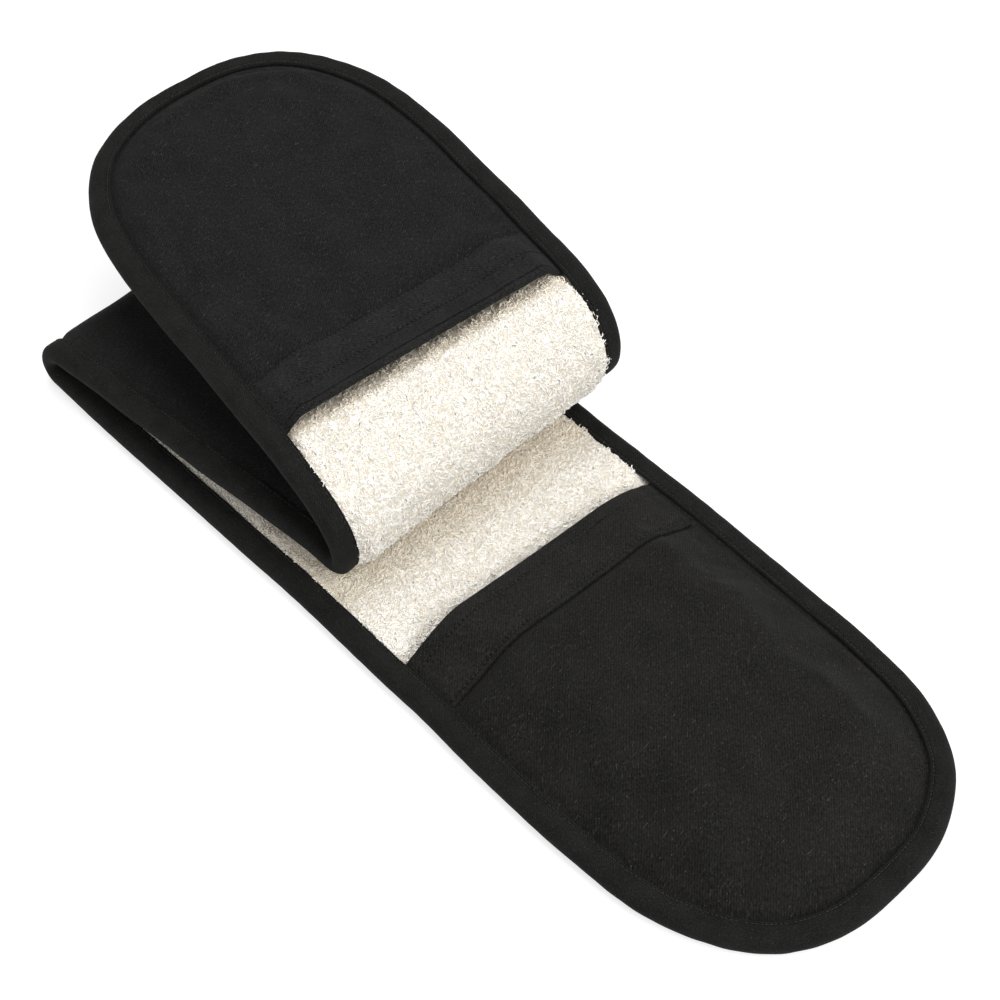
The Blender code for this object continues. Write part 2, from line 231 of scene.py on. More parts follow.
# Those of the pile: tufts as height, length and seed of their waves
tufts = ((0.00034, 0.0130, 61), (0.00020, 0.0055, 63))
pile_loft = 0.0004
edge_loft = 0.0012
mouth_fill_reach = 0.0070
lip_clearance = 0.0018
fold_bulge = 0.0030
bulge_start = 0.0045
bulge_full = 0.0010
bulge_fall = (0.0140, 0.0400)
bulge_inset = 0.0080
bulge_unevenness = 0.15
bulge_wave_length = 0.0450

# How single loops differ: shares of their length, height, spacing or lean
loop_lengths = (0.6, 1.4)
loop_heights = (0.78, 1.12)
loop_twist = 0.30
loop_fullness = 0.75
loop_spread = 0.6
loop_lean = 0.55
loop_stray = 0.35
loop_stray_cap = 0.6
border_calm = (0.4, 0.7)
border_lean = 0.45
lean_wave_length = 0.0080

# Where the pile's colour gets painted shade: runs on the lower layer, in the crease under the front fold,
# and distances from the upper pocket's mouth, under its lip
painted_shade_start = (0.2400, 0.2660)
painted_shade_end = (0.2700, 0.3500)
painted_lip_shade = (0.0090, 0.0010)

# Cloth simulation of the flaps
puff_frames = 20
puff_cap = 0.0030
puff_settings = {
    "use_pressure": True,
    "uniform_pressure_force": 4.0,
    "shrink_min": -0.02,
    "tension_stiffness": 30.0,
    "compression_stiffness": 30.0,
    "bending_stiffness": 1.2,
}


def smooth_step(value, start, end):
    """Rises smoothly from 0 at start to 1 at end."""
    share = np.clip((value - start) / (end - start), 0, 1)
    return share * share * (3 - 2 * share)


def mix(first, last, share):
    return first + (last - first) * share


def unit(vectors):
    return vectors / np.linalg.norm(vectors, axis=-1, keepdims=True)


class Course:
    """The folded strip's centre line and directions, read at any run."""

    def __init__(self):
        run_knots, *turn_knots = zip(*self.knots())
        self.runs = np.arange(0, total_length + course_step, course_step)
        lean, yaw, roll = [np.radians(np.interp(self.runs, run_knots, turns)) for turns in turn_knots]
        flat = np.zeros_like(lean)
        self.along = np.stack([np.cos(lean) * np.cos(yaw), np.cos(lean) * np.sin(yaw), np.sin(lean)], 1)
        level = np.stack([-np.sin(yaw), np.cos(yaw), flat], 1)
        rolled = np.cross(level, self.along)
        self.across = level * np.cos(roll)[:, None] + rolled * np.sin(roll)[:, None]
        self.upward = np.cross(self.across, self.along)
        steps = (self.along[1:] + self.along[:-1]) / 2 * course_step
        low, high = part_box("lower_binding")
        start = [high[0], (low[1] + high[1]) / 2, low[2] + open_depth / 2]
        self.centre = np.vstack([np.array([start]), start + np.cumsum(steps, 0)])

    @staticmethod
    def knots():
        """Where the strip's direction changes: run, lean, yaw and roll."""
        yield 0.0, start_lean, 0.0, 0.0
        yield lower_end, start_lean, 0.0, 0.0
        yield rear_bend_end, rear_bend_lean, middle_yaw, 0.0
        yield rear_bend_end + middle_reach / 2, middle_lean, middle_yaw, 0.0
        yield middle_end, middle_end_lean, middle_yaw, 0.0
        yield crease_end, crease_lean, middle_yaw, 0.0
        for count, lean in enumerate(rise_leans, start=1):
            share = count / len(rise_leans)
            yaw = mix(middle_yaw, upper_yaw, share)
            yield crease_end + rise_length * share, lean, yaw, upper_roll * share
        yield front_bend_end + upper_reach, upper_mouth_lean, upper_yaw, upper_roll
        yield total_length, tip_lean, upper_yaw, upper_roll

    def read(self, table, run):
        return np.stack([np.interp(run, self.runs, column) for column in table.T], -1)

    def laid(self, run, side, rise):
        """Points on the folded strip."""
        run, side, rise = np.broadcast_arrays(run, side, rise)
        point = self.read(self.centre, run) + self.read(self.across, run) * side[..., None]
        return point + self.read(self.upward, run) * (rise - open_depth / 2)[..., None]


course = Course()


def reach_of(run):
    """Distance from the nearer round end's tip."""
    return np.minimum(run, total_length - run)


def waves(first, second, length, seed):
    """A soft field of about -1 to 1, of waves that run in several directions."""
    generator = np.random.default_rng(seed)
    total = 0
    for turn, phase, stretch in zip(*generator.uniform(size=(3, 6))):
        way = first * cos(2 * pi * turn) + second * sin(2 * pi * turn)
        total = total + np.sin(2 * pi * (way / (length * mix(0.6, 1.5, stretch)) + phase))
    return total / 3


def rounded_shifts(pocket):
    """The pocket's edge shifts at even ways, with their corners rounded."""
    span = np.hanning(edge_rounding + 2)[1:-1]
    ways, shifts = zip(*pocket["edge_shifts"])
    even = np.interp(edge_ways, ways, shifts)
    padded = np.pad(even, edge_rounding // 2, mode="edge")
    return np.convolve(padded, span / span.sum(), mode="valid")


edge_tables = [rounded_shifts(pocket) for pocket in (lower_pocket, upper_pocket)]


def run_at(reach, pocket):
    """Run of a place that lies at a reach from the pocket's tip."""
    return reach if pocket is lower_pocket else total_length - reach


def edge_shift(run, side):
    """How far the sewn edge near a place lies outside its even line."""
    way = side * (1 + reach_of(run) / half_width)
    lower, upper = [np.interp(way, edge_ways, shifts) for shifts in edge_tables]
    return np.where(np.asarray(run) > total_length / 2, upper, lower)


def edge_distance(run, side):
    """About how far a flat place lies inside the strip's edge."""
    power = tip_fullness_share
    forward = np.clip((pocket_tip_length - reach_of(run)) / pocket_tip_length, 0, None)
    sideways = np.abs(side) / half_width
    level = np.maximum((forward**power + sideways**power) ** (1 / power), piece_gap)
    slope = (forward / level) ** (power - 1) / pocket_tip_length
    flank = (sideways / level) ** (power - 1) / half_width
    return (1 - level) / np.maximum(np.hypot(slope, flank), piece_gap) + edge_shift(run, side)


def swell(run, side):
    """Two measures from 0 at the binding to 1: full padding, and full crown."""
    inside = edge_distance(run, side)
    full = smooth_step(inside, binding_edge, binding_edge + edge_softness)
    return full, smooth_step(inside, binding_edge, binding_edge + crown_softness)


def near_mouth(reach, pocket):
    """Rises from 0 inside the pocket to 1 at its mouth."""
    return smooth_step(reach, pocket_length - pocket["mouth_reach"], pocket_length)


def floor_faces(run, side):
    """Underside and upper face of the strip itself."""
    reach = reach_of(run)
    full, domed = swell(run, side)
    lows, highs = [], []
    for pocket in (lower_pocket, upper_pocket):
        opened = smooth_step(reach, pocket_length, pocket_length + pocket["mouth_step"])
        squeezed = mix(grip_split - piece_gap / 2, grip_end, opened)
        loose = mix(pocket_floor_depth, open_depth, opened)
        left = mix(1.0, mouth_sag_share, near_mouth(reach, pocket))
        drop = pocket["floor_sag"] * left * (1 - opened) * domed
        lows.append(grip_start * (1 - full) - drop)
        highs.append(mix(squeezed, loose, full) - drop)
    upper = run > total_length / 2
    return np.where(upper, lows[1], lows[0]), np.where(upper, highs[1], highs[0])


def flap_faces(reach, side, pocket):
    """Inner and outer face of a pocket's padded flap."""
    full, domed = swell(run_at(reach, pocket), side)
    stops = np.linspace(-half_width, half_width, len(pocket["mouth_lift_shares"]))
    curve = np.polyfit(stops / half_width, pocket["mouth_lift_shares"], len(stops) - 1)
    mouth_lift = pocket["mouth_lift"] * np.polyval(curve, side / half_width)
    squeezed = grip_split + piece_gap / 2
    inside = edge_distance(run_at(reach, pocket), side) - binding_edge
    mouth_domed = smooth_step(inside, 0, pocket["mouth_softness"])
    low = mix(squeezed, pocket_floor_depth + piece_gap, full)
    low = low + mix(pocket["flap_lift"] * domed, mouth_lift * mouth_domed, near_mouth(reach, pocket))
    depth = mix(grip_end - squeezed, pocket_flap_depth, smooth_step(inside, 0, flap_softness))
    from_seam = np.abs(reach - pocket_length + hem_width)
    groove_depth, groove_reach = pocket["seam_groove"]
    groove = groove_depth * (1 - smooth_step(from_seam, 0.0, groove_reach))
    dip = tape_dip * (1 - smooth_step(np.abs(inside - piece_gap), 0, tape_dip_reach))
    return low, low + depth - groove * full - dip


def cloth_relief(run, side, seed):
    """Soft waves of a padded cloth, and the puckers beside its binding."""
    inside = edge_distance(run, side) - binding_edge
    pull = np.exp(-np.maximum(inside, 0) / pucker_reach * 2) * smooth_step(inside, 0, edge_softness)
    pucker = pull * waves(run, side * ripple_stretch, pucker_length, seed) * pucker_height
    soft = smooth_step(inside, 0, crown_softness)
    return pucker + wave_height * waves(run, side, wave_length, seed + 1) * soft


def pile_relief(run, side):
    """Tufts and hollows of the terry, over its padded form."""
    tufted = sum(height * waves(run, side, length, seed) for height, length, seed in tufts)
    loft = pile_loft + (1 - swell(run, side)[0]) * edge_loft
    bare = smooth_step(edge_distance(run, side), binding_width, binding_edge + binding_cloth)
    open_part = smooth_step(reach_of(run), pocket_length, pocket_length + binding_width)
    return tufted + loft * bare * open_part + mouth_fill(run, side) + fold_swelling(run, side)


def mouth_fill(run, side):
    """How far the pile stands up at the upper pocket's mouth and under its lip."""
    reach = total_length - run
    share = smooth_step(reach, pocket_length - mouth_fill_reach, pocket_length + binding_cloth)
    share = share * (reach < pocket_length + upper_reach) * swell(run, side)[0]
    lip = flap_faces(np.minimum(reach, pocket_length), side, upper_pocket)[0] - piece_gap
    top = floor_faces(run, side)[1]
    outside = smooth_step(reach, pocket_length, pocket_length + mouth_fill_reach)
    full = open_depth - lip_clearance * (1 - outside)
    room = np.where(reach < pocket_length, np.minimum(lip, full), full) - top
    return np.maximum(room, 0) * share


def fold_swelling(run, side):
    """How far the terry bulges out at the foot of the front fold."""
    rise = smooth_step(run, middle_end + bulge_start, crease_end + bulge_full)
    fall = smooth_step(run, *[crease_end + way for way in bulge_fall])
    inside = smooth_step(edge_distance(run, side), binding_edge, binding_edge + bulge_inset)
    uneven = 1 + bulge_unevenness * waves(side, run * ripple_stretch, bulge_wave_length, 73)
    return fold_bulge * rise * (1 - fall) * inside * uneven


def half_width_at(reach, inset):
    """Half the strip's width at a reach, inset all round."""
    forward = np.clip((pocket_tip_length - reach) / (pocket_tip_length - inset), 0, 1)
    power = tip_fullness_share
    return (half_width - inset) * (1 - forward**power) ** (1 / power)


def column_shares(cell):
    """Places across the strip from -1 to 1, closer together at its edges."""
    shares = np.linspace(-1, 1, max(8, round(strip_width / cell)) + 1)
    return shares * (1.25 - 0.25 * shares**2)


def tip_reaches(inset, cell):
    """Reaches from a round end's tip to where its sides run straight."""
    count = max(6, round(pocket_tip_length / cell))
    reaches = inset + (pocket_tip_length - inset) * (1 - np.cos(np.linspace(0, pi / 2, count)))
    reaches[0] += piece_gap / 10
    return reaches


def flat_grid(run_start, run_end, inset, cell):
    """Runs and sides over a stretch of the strip, with a spare row at each cut."""
    count = max(4, round((run_end - run_start) / cell))
    runs = np.linspace(run_start, run_end, count + 1)
    step = runs[1] - runs[0]
    if run_start == 0:
        tail = runs[runs > pocket_tip_length + cell / 2]
        runs = np.concatenate([tip_reaches(inset, cell), tail, [run_end + step]])
    elif run_end == total_length:
        tail = runs[runs < total_length - pocket_tip_length - cell / 2]
        runs = np.concatenate([[run_start - step], tail, total_length - tip_reaches(inset, cell)[::-1]])
    else:
        runs = np.concatenate([[run_start - step], runs, [run_end + step]])
    widths = half_width_at(reach_of(runs), inset)
    shares = column_shares(cell)
    return np.repeat(runs[:, None], len(shares), 1), widths[:, None] * shares[None, :]


def cut_rows(run_start, run_end):
    """Rows of such a grid that belong to the stretch itself."""
    return slice(0 if run_start == 0 else 1, None if run_end == total_length else -1)


def grid_faces(rows, columns, offset=0, flip=False):
    place = np.arange(rows * columns).reshape(rows, columns) + offset
    faces = np.stack([place[:-1, :-1], place[1:, :-1], place[1:, 1:], place[:-1, 1:]], -1).reshape(-1, 4)
    return faces[:, ::-1] if flip else faces


def rim_faces(rows, columns):
    """Faces that join the borders of two grids, one counted after the other."""
    place = np.arange(rows * columns).reshape(rows, columns)
    border = np.concatenate([place[0, :-1], place[:-1, -1], place[-1, :0:-1], place[:0:-1, 0]])
    after = np.roll(border, -1)
    over = rows * columns
    return np.stack([border, border + over, after + over, after], -1)


def grid_normals(points):
    """Directions square to a grid of points, on the side that shows."""
    return unit(np.cross(np.gradient(points, axis=1), np.gradient(points, axis=0)))


def new_piece(name, data, look):
    data.materials.append(look)
    piece = bpy.data.objects.new(name, data)
    bpy.context.collection.objects.link(piece)
    return piece


def map_flat(data, places):
    """Gives each point of a mesh its two values on the flat cloth."""
    corners = np.empty(len(data.loops), np.int32)
    data.loops.foreach_get("vertex_index", corners)
    layer = data.uv_layers.new(name="flat_cut")
    layer.uv.foreach_set("vector", places[corners].astype(np.float32).ravel())


def layered(name, inner, outer, flat, look, rows=slice(None)):
    """A closed piece between two grids of points; flat is its place on the cloth."""
    normals = [-grid_normals(inner)[rows], grid_normals(outer)[rows]]
    inner, outer, flat = inner[rows], outer[rows], flat[rows]
    count = inner.shape[:2]
    over = grid_faces(*count, offset=count[0] * count[1], flip=True)
    faces = np.concatenate([grid_faces(*count), over, rim_faces(*count)])
    data = bpy.data.meshes.new(name)
    data.from_pydata(np.concatenate([inner, outer]).reshape(-1, 3), [], faces)
    map_flat(data, np.concatenate([flat, flat]).reshape(-1, 2))
    data.shade_smooth()
    data.normals_split_custom_set_from_vertices(np.concatenate(normals).reshape(-1, 3).tolist())
    return new_piece(name, data, look)


def slab(name, run, side, low, high, look, rows=slice(None)):
    """A closed piece between two rises over a grid of runs and sides."""
    inner, outer = course.laid(run, side, low), course.laid(run, side, high)
    return layered(name, inner, outer, np.stack([run, side], -1), look, rows)


def thickened(name, points, thickness, flat, look, rows=slice(None)):
    """A sheet whose outer face is a grid of points."""
    return layered(name, points - grid_normals(points) * thickness, points, flat, look, rows)


def tubes(name, paths, radius, sides, look, places=None):
    """Closed lengths of yarn along many short paths of points, in one mesh.

    Places are two values for each point of a path, which the map keeps.
    """
    count, steps = paths.shape[:2]
    ahead = unit(np.gradient(paths, axis=1))
    chord = paths[:, -1] - paths[:, 0]
    bow = np.cross(chord, paths[:, steps // 2] - paths[:, 0]) + piece_gap**3
    first = unit(np.cross(ahead, np.repeat(unit(bow)[:, None], steps, 1)))
    second = np.cross(ahead, first)
    turns = 2 * pi * np.arange(sides) / sides
    ring = first[:, :, None] * np.cos(turns)[:, None] + second[:, :, None] * np.sin(turns)[:, None]
    points = paths[:, :, None] + ring * radius
    place = np.arange(count * steps * sides).reshape(count, steps, sides)
    after = np.roll(place, -1, axis=2)
    walls = [(place[:, :-1], place[:, 1:], after[:, 1:]), (place[:, :-1], after[:, 1:], after[:, :-1])]
    faces = [np.stack(corners, -1).reshape(-1, 3) for corners in walls]
    for corner in range(1, sides - 1):
        faces.append(place[:, 0, [0, corner, corner + 1]])
        faces.append(place[:, -1, [0, corner + 1, corner]])
    data = bpy.data.meshes.new(name)
    data.from_pydata(points.reshape(-1, 3), [], np.concatenate(faces))
    if places is not None:
        map_flat(data, np.repeat(places.reshape(-1, 2), sides, 0))
    data.shade_smooth()
    return new_piece(name, data, look)


# Stretches of the strip, each cut at the middle of a fold or of the middle layer
def run_at_lean(lean, start, end):
    """Run at which a bend points in a direction."""
    low, high = start - piece_gap, end + piece_gap
    runs, leans, *_ = zip(*[knot for knot in Course.knots() if low < knot[0] < high])
    order = np.argsort(leans)
    return float(np.interp(lean, np.array(leans)[order], np.array(runs)[order]))


rear_middle = run_at_lean((start_lean + rear_bend_lean) / 2, lower_end, rear_bend_end)
rear_hinges = [run_at_lean(lean, lower_end, rear_bend_end) for lean in rear_hinge_leans]
front_hinges = [run_at_lean(lean, middle_end, front_bend_end) for lean in front_hinge_leans]
front_middle = sum(front_hinges) / 2
panel_middle = rear_bend_end + middle_reach / 2

# Each stretch's name, the CAD nodes it stands for, the bodies that it joins,
# its own runs, the runs between which it turns, and the run of its hinge
stretch_keys = ("name", "nodes", "bodies", "runs", "turning", "hinge")
stretches = [dict(zip(stretch_keys, row)) for row in (
    ("lower", ["lower"], ("lower_panel", "rear_fold"),
     (0, rear_middle), (lower_end, rear_middle), rear_hinges[0]),
    ("rear", ["rear_fold", "middle"], ("rear_fold", "middle_panel"),
     (rear_middle, panel_middle), (rear_middle, rear_bend_end), rear_hinges[1]),
    ("front", ["front_fold"], ("middle_panel", "front_fold"),
     (panel_middle, front_middle), (middle_end, front_middle), front_hinges[0]),
    ("upper", ["upper"], ("front_fold", "upper_panel"),
     (front_middle, total_length), (front_middle, front_bend_end), front_hinges[1]),
)]


def bend_with(piece, stretch, low_rise, high_rise):
    """Reckons where a piece's stretch turns between the two bodies it joins, and bakes the piece's place
    into its mesh; the reckoned ends are not used.
    """
    ahead = course.read(course.along, np.array(stretch["hinge"]))
    base = course.read(course.centre, np.array(stretch["hinge"]))
    sides = np.array([-half_width, -half_width, half_width, half_width])
    rises = np.array([low_rise, high_rise, low_rise, high_rise])
    first, last = [(course.laid(run, sides, rises) - base) @ ahead for run in stretch["turning"]]
    middle = (first.max() + last.min()) / 2
    reach = max((last.min() - first.max()) / 2, piece_gap)
    start, end = base + ahead * (middle - reach), base + ahead * (middle + reach)
    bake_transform(piece)


class Socket:
    """A shader value that takes part in sums; each sum adds a Math node."""

    def __init__(self, graph, socket):
        self.graph = graph
        self.socket = socket

    def outlet(self, name):
        """Another outlet of the same node."""
        return Socket(self.graph, self.socket.node.outputs[name])

    def __add__(self, other):
        return self.graph.maths("ADD", self, other)

    def __radd__(self, other):
        return self.graph.maths("ADD", other, self)

    def __sub__(self, other):
        return self.graph.maths("SUBTRACT", self, other)

    def __rsub__(self, other):
        return self.graph.maths("SUBTRACT", other, self)

    def __mul__(self, other):
        return self.graph.maths("MULTIPLY", self, other)

    def __rmul__(self, other):
        return self.graph.maths("MULTIPLY", other, self)


class Graph:
    """Node tree of one material, filled by Python expressions."""

    def __init__(self, name):
        self.material = bpy.data.materials.new(name)
        self.material.use_nodes = True
        self.tree = self.material.node_tree
        self.shader = self.tree.nodes["Principled BSDF"]
        self.output = self.tree.nodes["Material Output"]

    def node(self, kind, settings=None, outlet=0, **inputs):
        """Adds a node; inputs are named as its sockets, or in0, in1 by number."""
        node = self.tree.nodes.new(kind)
        for key, value in (settings or {}).items():
            setattr(node, key, value)
        for key, value in inputs.items():
            label = int(key[2:]) if key[2:].isdigit() else key.replace("_", " ")
            self.feed(node.inputs[label], value)
        return Socket(self, node.outputs[outlet])

    def feed(self, inlet, value):
        if isinstance(value, Socket):
            self.tree.links.new(value.socket, inlet)
        else:
            inlet.default_value = value

    def maths(self, operation, *values, clamp=False):
        inputs = {f"in{count}": value for count, value in enumerate(values)}
        return self.node("ShaderNodeMath", {"operation": operation, "use_clamp": clamp}, **inputs)

    def within(self, value):
        return self.maths("ADD", value, 0.0, clamp=True)

    def smooth(self, value, start, end):
        settings = {"interpolation_type": "SMOOTHSTEP"}
        return self.node("ShaderNodeMapRange", settings, Value=value, From_Min=start, From_Max=end)

    def tint(self, share, first, second):
        return self.node("ShaderNodeMix", {"data_type": "RGBA"}, 2, in0=share, in6=first, in7=second)

    def flat_place(self):
        """Two lengths along the flat cloth, in metres."""
        place = self.node("ShaderNodeUVMap", {"uv_map": "flat_cut"})
        along = self.node("ShaderNodeSeparateXYZ", Vector=place)
        return along, along.outlet("Y")

    def flecks(self, first, second, across, along):
        """Noise with so many flecks a metre along two directions of the cloth."""
        place = self.node("ShaderNodeCombineXYZ", X=first * across, Y=second * along)
        return self.node("ShaderNodeTexNoise", Vector=place, Scale=1.0, Detail=2.0)

    def grains(self, scale, detail=2.0, **inputs):
        """Noise with so many grains a metre through the piece's own space."""
        place = self.node("ShaderNodeTexCoord", outlet="Object")
        return self.node("ShaderNodeTexNoise", Vector=place, Scale=scale, Detail=detail, **inputs)

    def ribs(self, way, pitch):
        """Even ribs from 0 to 1 across a direction."""
        return self.maths("SINE", way * (2 * pi / pitch)) * 0.5 + 0.5

    def bump(self, height, distance, strength):
        bump = self.node("ShaderNodeBump", Height=height, Distance=distance, Strength=strength)
        self.feed(self.shader.inputs["Normal"], bump)

    def finish(self, colour, roughness, **even):
        """Feeds the shader; even values are set on its own sockets."""
        self.feed(self.shader.inputs["Base Color"], colour)
        self.feed(self.shader.inputs["Roughness"], roughness)
        for key, value in even.items():
            self.shader.inputs[key.replace("_", " ")].default_value = value
        return self.material


def shade(colour, share=1):
    """A colour for a node, made lighter or darker."""
    return tuple(channel * share for channel in colour[:3]) + (1,)


# What the looks share: shader values, and lengths of the weave and sewing in metres
pile_gloss = {"Specular_IOR_Level": 0.12}
cotton_gloss = {**pile_gloss, "Sheen_Weight": 0.02, "Sheen_Roughness": 0.5}
lint_colour = (0.070, 0.068, 0.062, 1)
twill_pitch = 0.0011
plain_pitch = 0.0007
tape_pitch = 0.0009
hole_radii = (0.00030, 0.00075)
pull_reaches = (0.00020, 0.00110)
fibre_grains = 300.0
thread_grains = 900.0
diagonal = 0.7071


def sewn_rows(graph, across, along, lines, pitch):
    """Needle holes, and the valley that the thread pulls, along rows of sewing."""
    beside = graph.maths("PINGPONG", along, pitch / 2)
    nearest = graph.maths("ABSOLUTE", across - lines[0])
    for line in lines[1:]:
        nearest = graph.maths("MINIMUM", nearest, graph.maths("ABSOLUTE", across - line))
    spot = graph.maths("SQRT", nearest * nearest + beside * beside)
    return 1 - graph.smooth(spot, *hole_radii), 1 - graph.smooth(nearest, *pull_reaches)


def twill_look(name, colour, pitch, lint, lines=(), stitch_pitch=0.0):
    """Matt cotton twill: slanting ribs, uneven yarn, cloudy wear and lint."""
    graph = Graph(name)
    run, side = graph.flat_place()
    slant, fall = (run - side) * diagonal, (run + side) * diagonal
    drift = graph.flecks(run, side, 260.0, 260.0)
    rib = graph.ribs(slant + drift * (pitch * 0.5), pitch)
    yarn = graph.ribs(fall, pitch * 0.62)
    weave = rib * 0.65 + rib * yarn * 0.35
    cloud = graph.flecks(run, side, 45.0, 60.0)
    grain = graph.flecks(slant, fall, 1900.0, 1000.0)
    coarse = graph.flecks(slant + 7.0, fall, 950.0, 650.0)
    tone = graph.within(weave * 0.22 + grain * 1.5 + coarse * 1.3 + cloud * 0.6 - 1.31)
    hair = graph.smooth(graph.flecks(slant, fall, 2400.0, 260.0), 0.64, 0.74)
    fluff = graph.smooth(graph.flecks(fall + slant, slant, 1300.0, 260.0), 0.66, 0.76)
    speck = graph.smooth(graph.flecks(run, side, 1300.0, 1300.0), 0.66, 0.76)
    light = graph.within((hair * 0.5 + fluff * 0.6 + speck) * lint)
    body = graph.tint(tone, shade(colour, 0.25), shade(colour, 1.75))
    height = weave * 0.6 + grain
    if lines:
        holes, pull = sewn_rows(graph, run, side, lines, stitch_pitch)
        body = graph.tint(graph.maths("MAXIMUM", holes * 0.8, pull * 0.08), body, shade(colour, 0.05))
        height = height - holes * 2.5 - pull * 0.6
    graph.bump(height, 0.00022, 0.7)
    return graph.finish(graph.tint(light, body, lint_colour), 0.95 - weave * 0.10, **cotton_gloss)


def tape_look(name, colour, pitch, stitch_pitch, stitch_lines):
    """Folded cotton tape, worn at its edge, with needle holes beside the thread."""
    graph = Graph(name)
    along, across = graph.flat_place()
    rib = graph.ribs(along + across, pitch * 1.41)
    yarn = graph.ribs(along - across, pitch)
    weave = rib * 0.6 + rib * yarn * 0.4
    cloud = graph.flecks(along, across, 90.0, 120.0)
    grain = graph.flecks(along + across, along - across, 1400.0, 700.0)
    tone = graph.within(weave * 0.25 + grain * 2.0 + cloud * 0.8 - 1.02)
    holes, pull = sewn_rows(graph, across, along, stitch_lines, stitch_pitch)
    wear = graph.smooth(graph.flecks(along, across, 380.0, 1100.0), 0.55, 0.80)
    speck = graph.smooth(graph.flecks(along, across, 1300.0, 1300.0), 0.64, 0.74)
    body = graph.tint(tone, shade(colour, 0.35), shade(colour, 1.9))
    body = graph.tint(speck * 0.8, body, shade(colour, 6.0))
    body = graph.tint(wear * 0.35, body, shade(colour, 3.2))
    body = graph.tint(graph.maths("MAXIMUM", holes * 0.9, pull * 0.20), body, shade(colour, 0.05))
    graph.bump(weave * 0.7 + grain - holes * 3.0 - pull * 1.2, 0.00020, 0.7)
    return graph.finish(body, 0.95 - weave * 0.10, **cotton_gloss)


def painted_shade_pile(graph, run, tone, deep_colour, colour, painted_shade_colour):
    """Colour of the pile, with a painted tan shade in the crease under the front fold and under the upper
    pocket's lip.
    """
    mouth = total_length - pocket_length
    # Masks of painted shade: the crease under the front fold, and the pile just under the lip
    fold = graph.smooth(run, *painted_shade_start) - graph.smooth(run, *painted_shade_end)
    lip = graph.smooth(run, *[mouth - way for way in painted_lip_shade])
    settings = {"data_type": "RGBA", "blend_type": "MULTIPLY"}
    pile = graph.tint(tone, shade(deep_colour), shade(colour))
    return graph.node("ShaderNodeMix", settings, 2, in0=graph.within(fold + lip), in6=pile, in7=shade(painted_shade_colour))


def loop_look(name, colour, deep_colour, painted_shade_colour):
    """Cotton loops: pale at their tops and darker tan down in the pile, a painted shade of the pile's
    depth; each loop also has its own tone.
    """
    graph = Graph(name)
    run, height = graph.flat_place()
    own = graph.node("ShaderNodeTexWhiteNoise", {"noise_dimensions": "1D"}, "Value", W=run)
    patch, fibre = graph.grains(140.0), graph.grains(3600.0)
    # The height share paints shade: the loops darken towards their feet
    tone = graph.within(graph.smooth(height, 0.42, 0.88) * 0.75 + own * 0.25 + patch * 0.5 - 0.20)
    graph.bump(fibre, 0.0002, 0.5)
    pile = painted_shade_pile(graph, run, tone, deep_colour, colour, painted_shade_colour)
    return graph.finish(pile, fibre * 0.1 + 0.88, **pile_gloss)


def matted_look(name, colour, deep_colour, painted_shade_colour):
    """Pile seen between the loops: curls of yarn as ridges, with painted shade in their hollows."""
    graph = Graph(name)
    run = graph.flat_place()[0]
    curls = [graph.grains(scale, 1.0, Distortion=0.6) for scale in (420.0, 760.0)]
    ridges = [1 - graph.maths("ABSOLUTE", curl * 9.0 - 4.5, clamp=True) for curl in curls]
    ridge = graph.maths("MAXIMUM", *ridges)
    graph.bump(ridge, 0.0008, 0.8)
    pile = painted_shade_pile(graph, run, ridge, deep_colour, colour, painted_shade_colour)
    return graph.finish(pile, 0.95 - ridge * 0.05, **pile_gloss)


def yarn_look(name, colour, deep_colour, clumps):
    """Soft cotton yarn whose colour drifts a little from place to place."""
    graph = Graph(name)
    drift, patch, fibre = graph.grains(clumps), graph.grains(clumps / 10, 1.0), graph.grains(clumps * 8)
    tone = graph.smooth(drift * 0.65 + patch * 0.35, 0.34, 0.54)
    graph.bump(fibre, 0.0002, 0.5)
    yarn = graph.tint(tone, shade(deep_colour), shade(colour))
    return graph.finish(yarn, fibre * 0.1 + 0.88, **pile_gloss)


class GloveColours(bpy.types.PropertyGroup):
    twill: FloatVectorProperty(
        name="Twill", subtype="COLOR", default=(0.0092, 0.0093, 0.0090),
        description="Black cotton twill of the backing, pockets and hem bands",
    )
    tape: FloatVectorProperty(
        name="Binding", subtype="COLOR", default=(0.0080, 0.0079, 0.0075),
        description="Black cotton tape round the edge",
    )
    lining: FloatVectorProperty(
        name="Lining", subtype="COLOR", default=(0.0080, 0.0080, 0.0078),
        description="Plain black cotton inside the pockets",
    )
    terry: FloatVectorProperty(
        name="Terry", subtype="COLOR", default=(0.970, 0.950, 0.905),
        description="Cream yarn at the top of the looped pile",
    )
    # Painted shade: the darker tan that the loops take down in the pile
    terry_depth_shade: FloatVectorProperty(
        name="Terry depth", subtype="COLOR", default=(0.918, 0.825, 0.665),
        description="Duller yarn down in the pile",
    )
    # Painted shade: the darker tan in the hollows of the matted pile
    terry_hollow_shade: FloatVectorProperty(
        name="Terry ground", subtype="COLOR", default=(0.890, 0.780, 0.600),
        description="Woven cloth that the loops grow from",
    )
    # Painted shade: a tan multiplied into the pile in the crease under the front fold and under the upper
    # pocket's lip
    terry_painted_shade: FloatVectorProperty(
        name="Terry cast", subtype="COLOR", default=(0.970, 0.920, 0.840),
        description="Tan cast of the pile that lies pressed in the fold and under the lip",
    )
    wadding: FloatVectorProperty(
        name="Wadding", subtype="COLOR", default=(0.780, 0.780, 0.760),
        description="Polyester wadding between the cloths",
    )


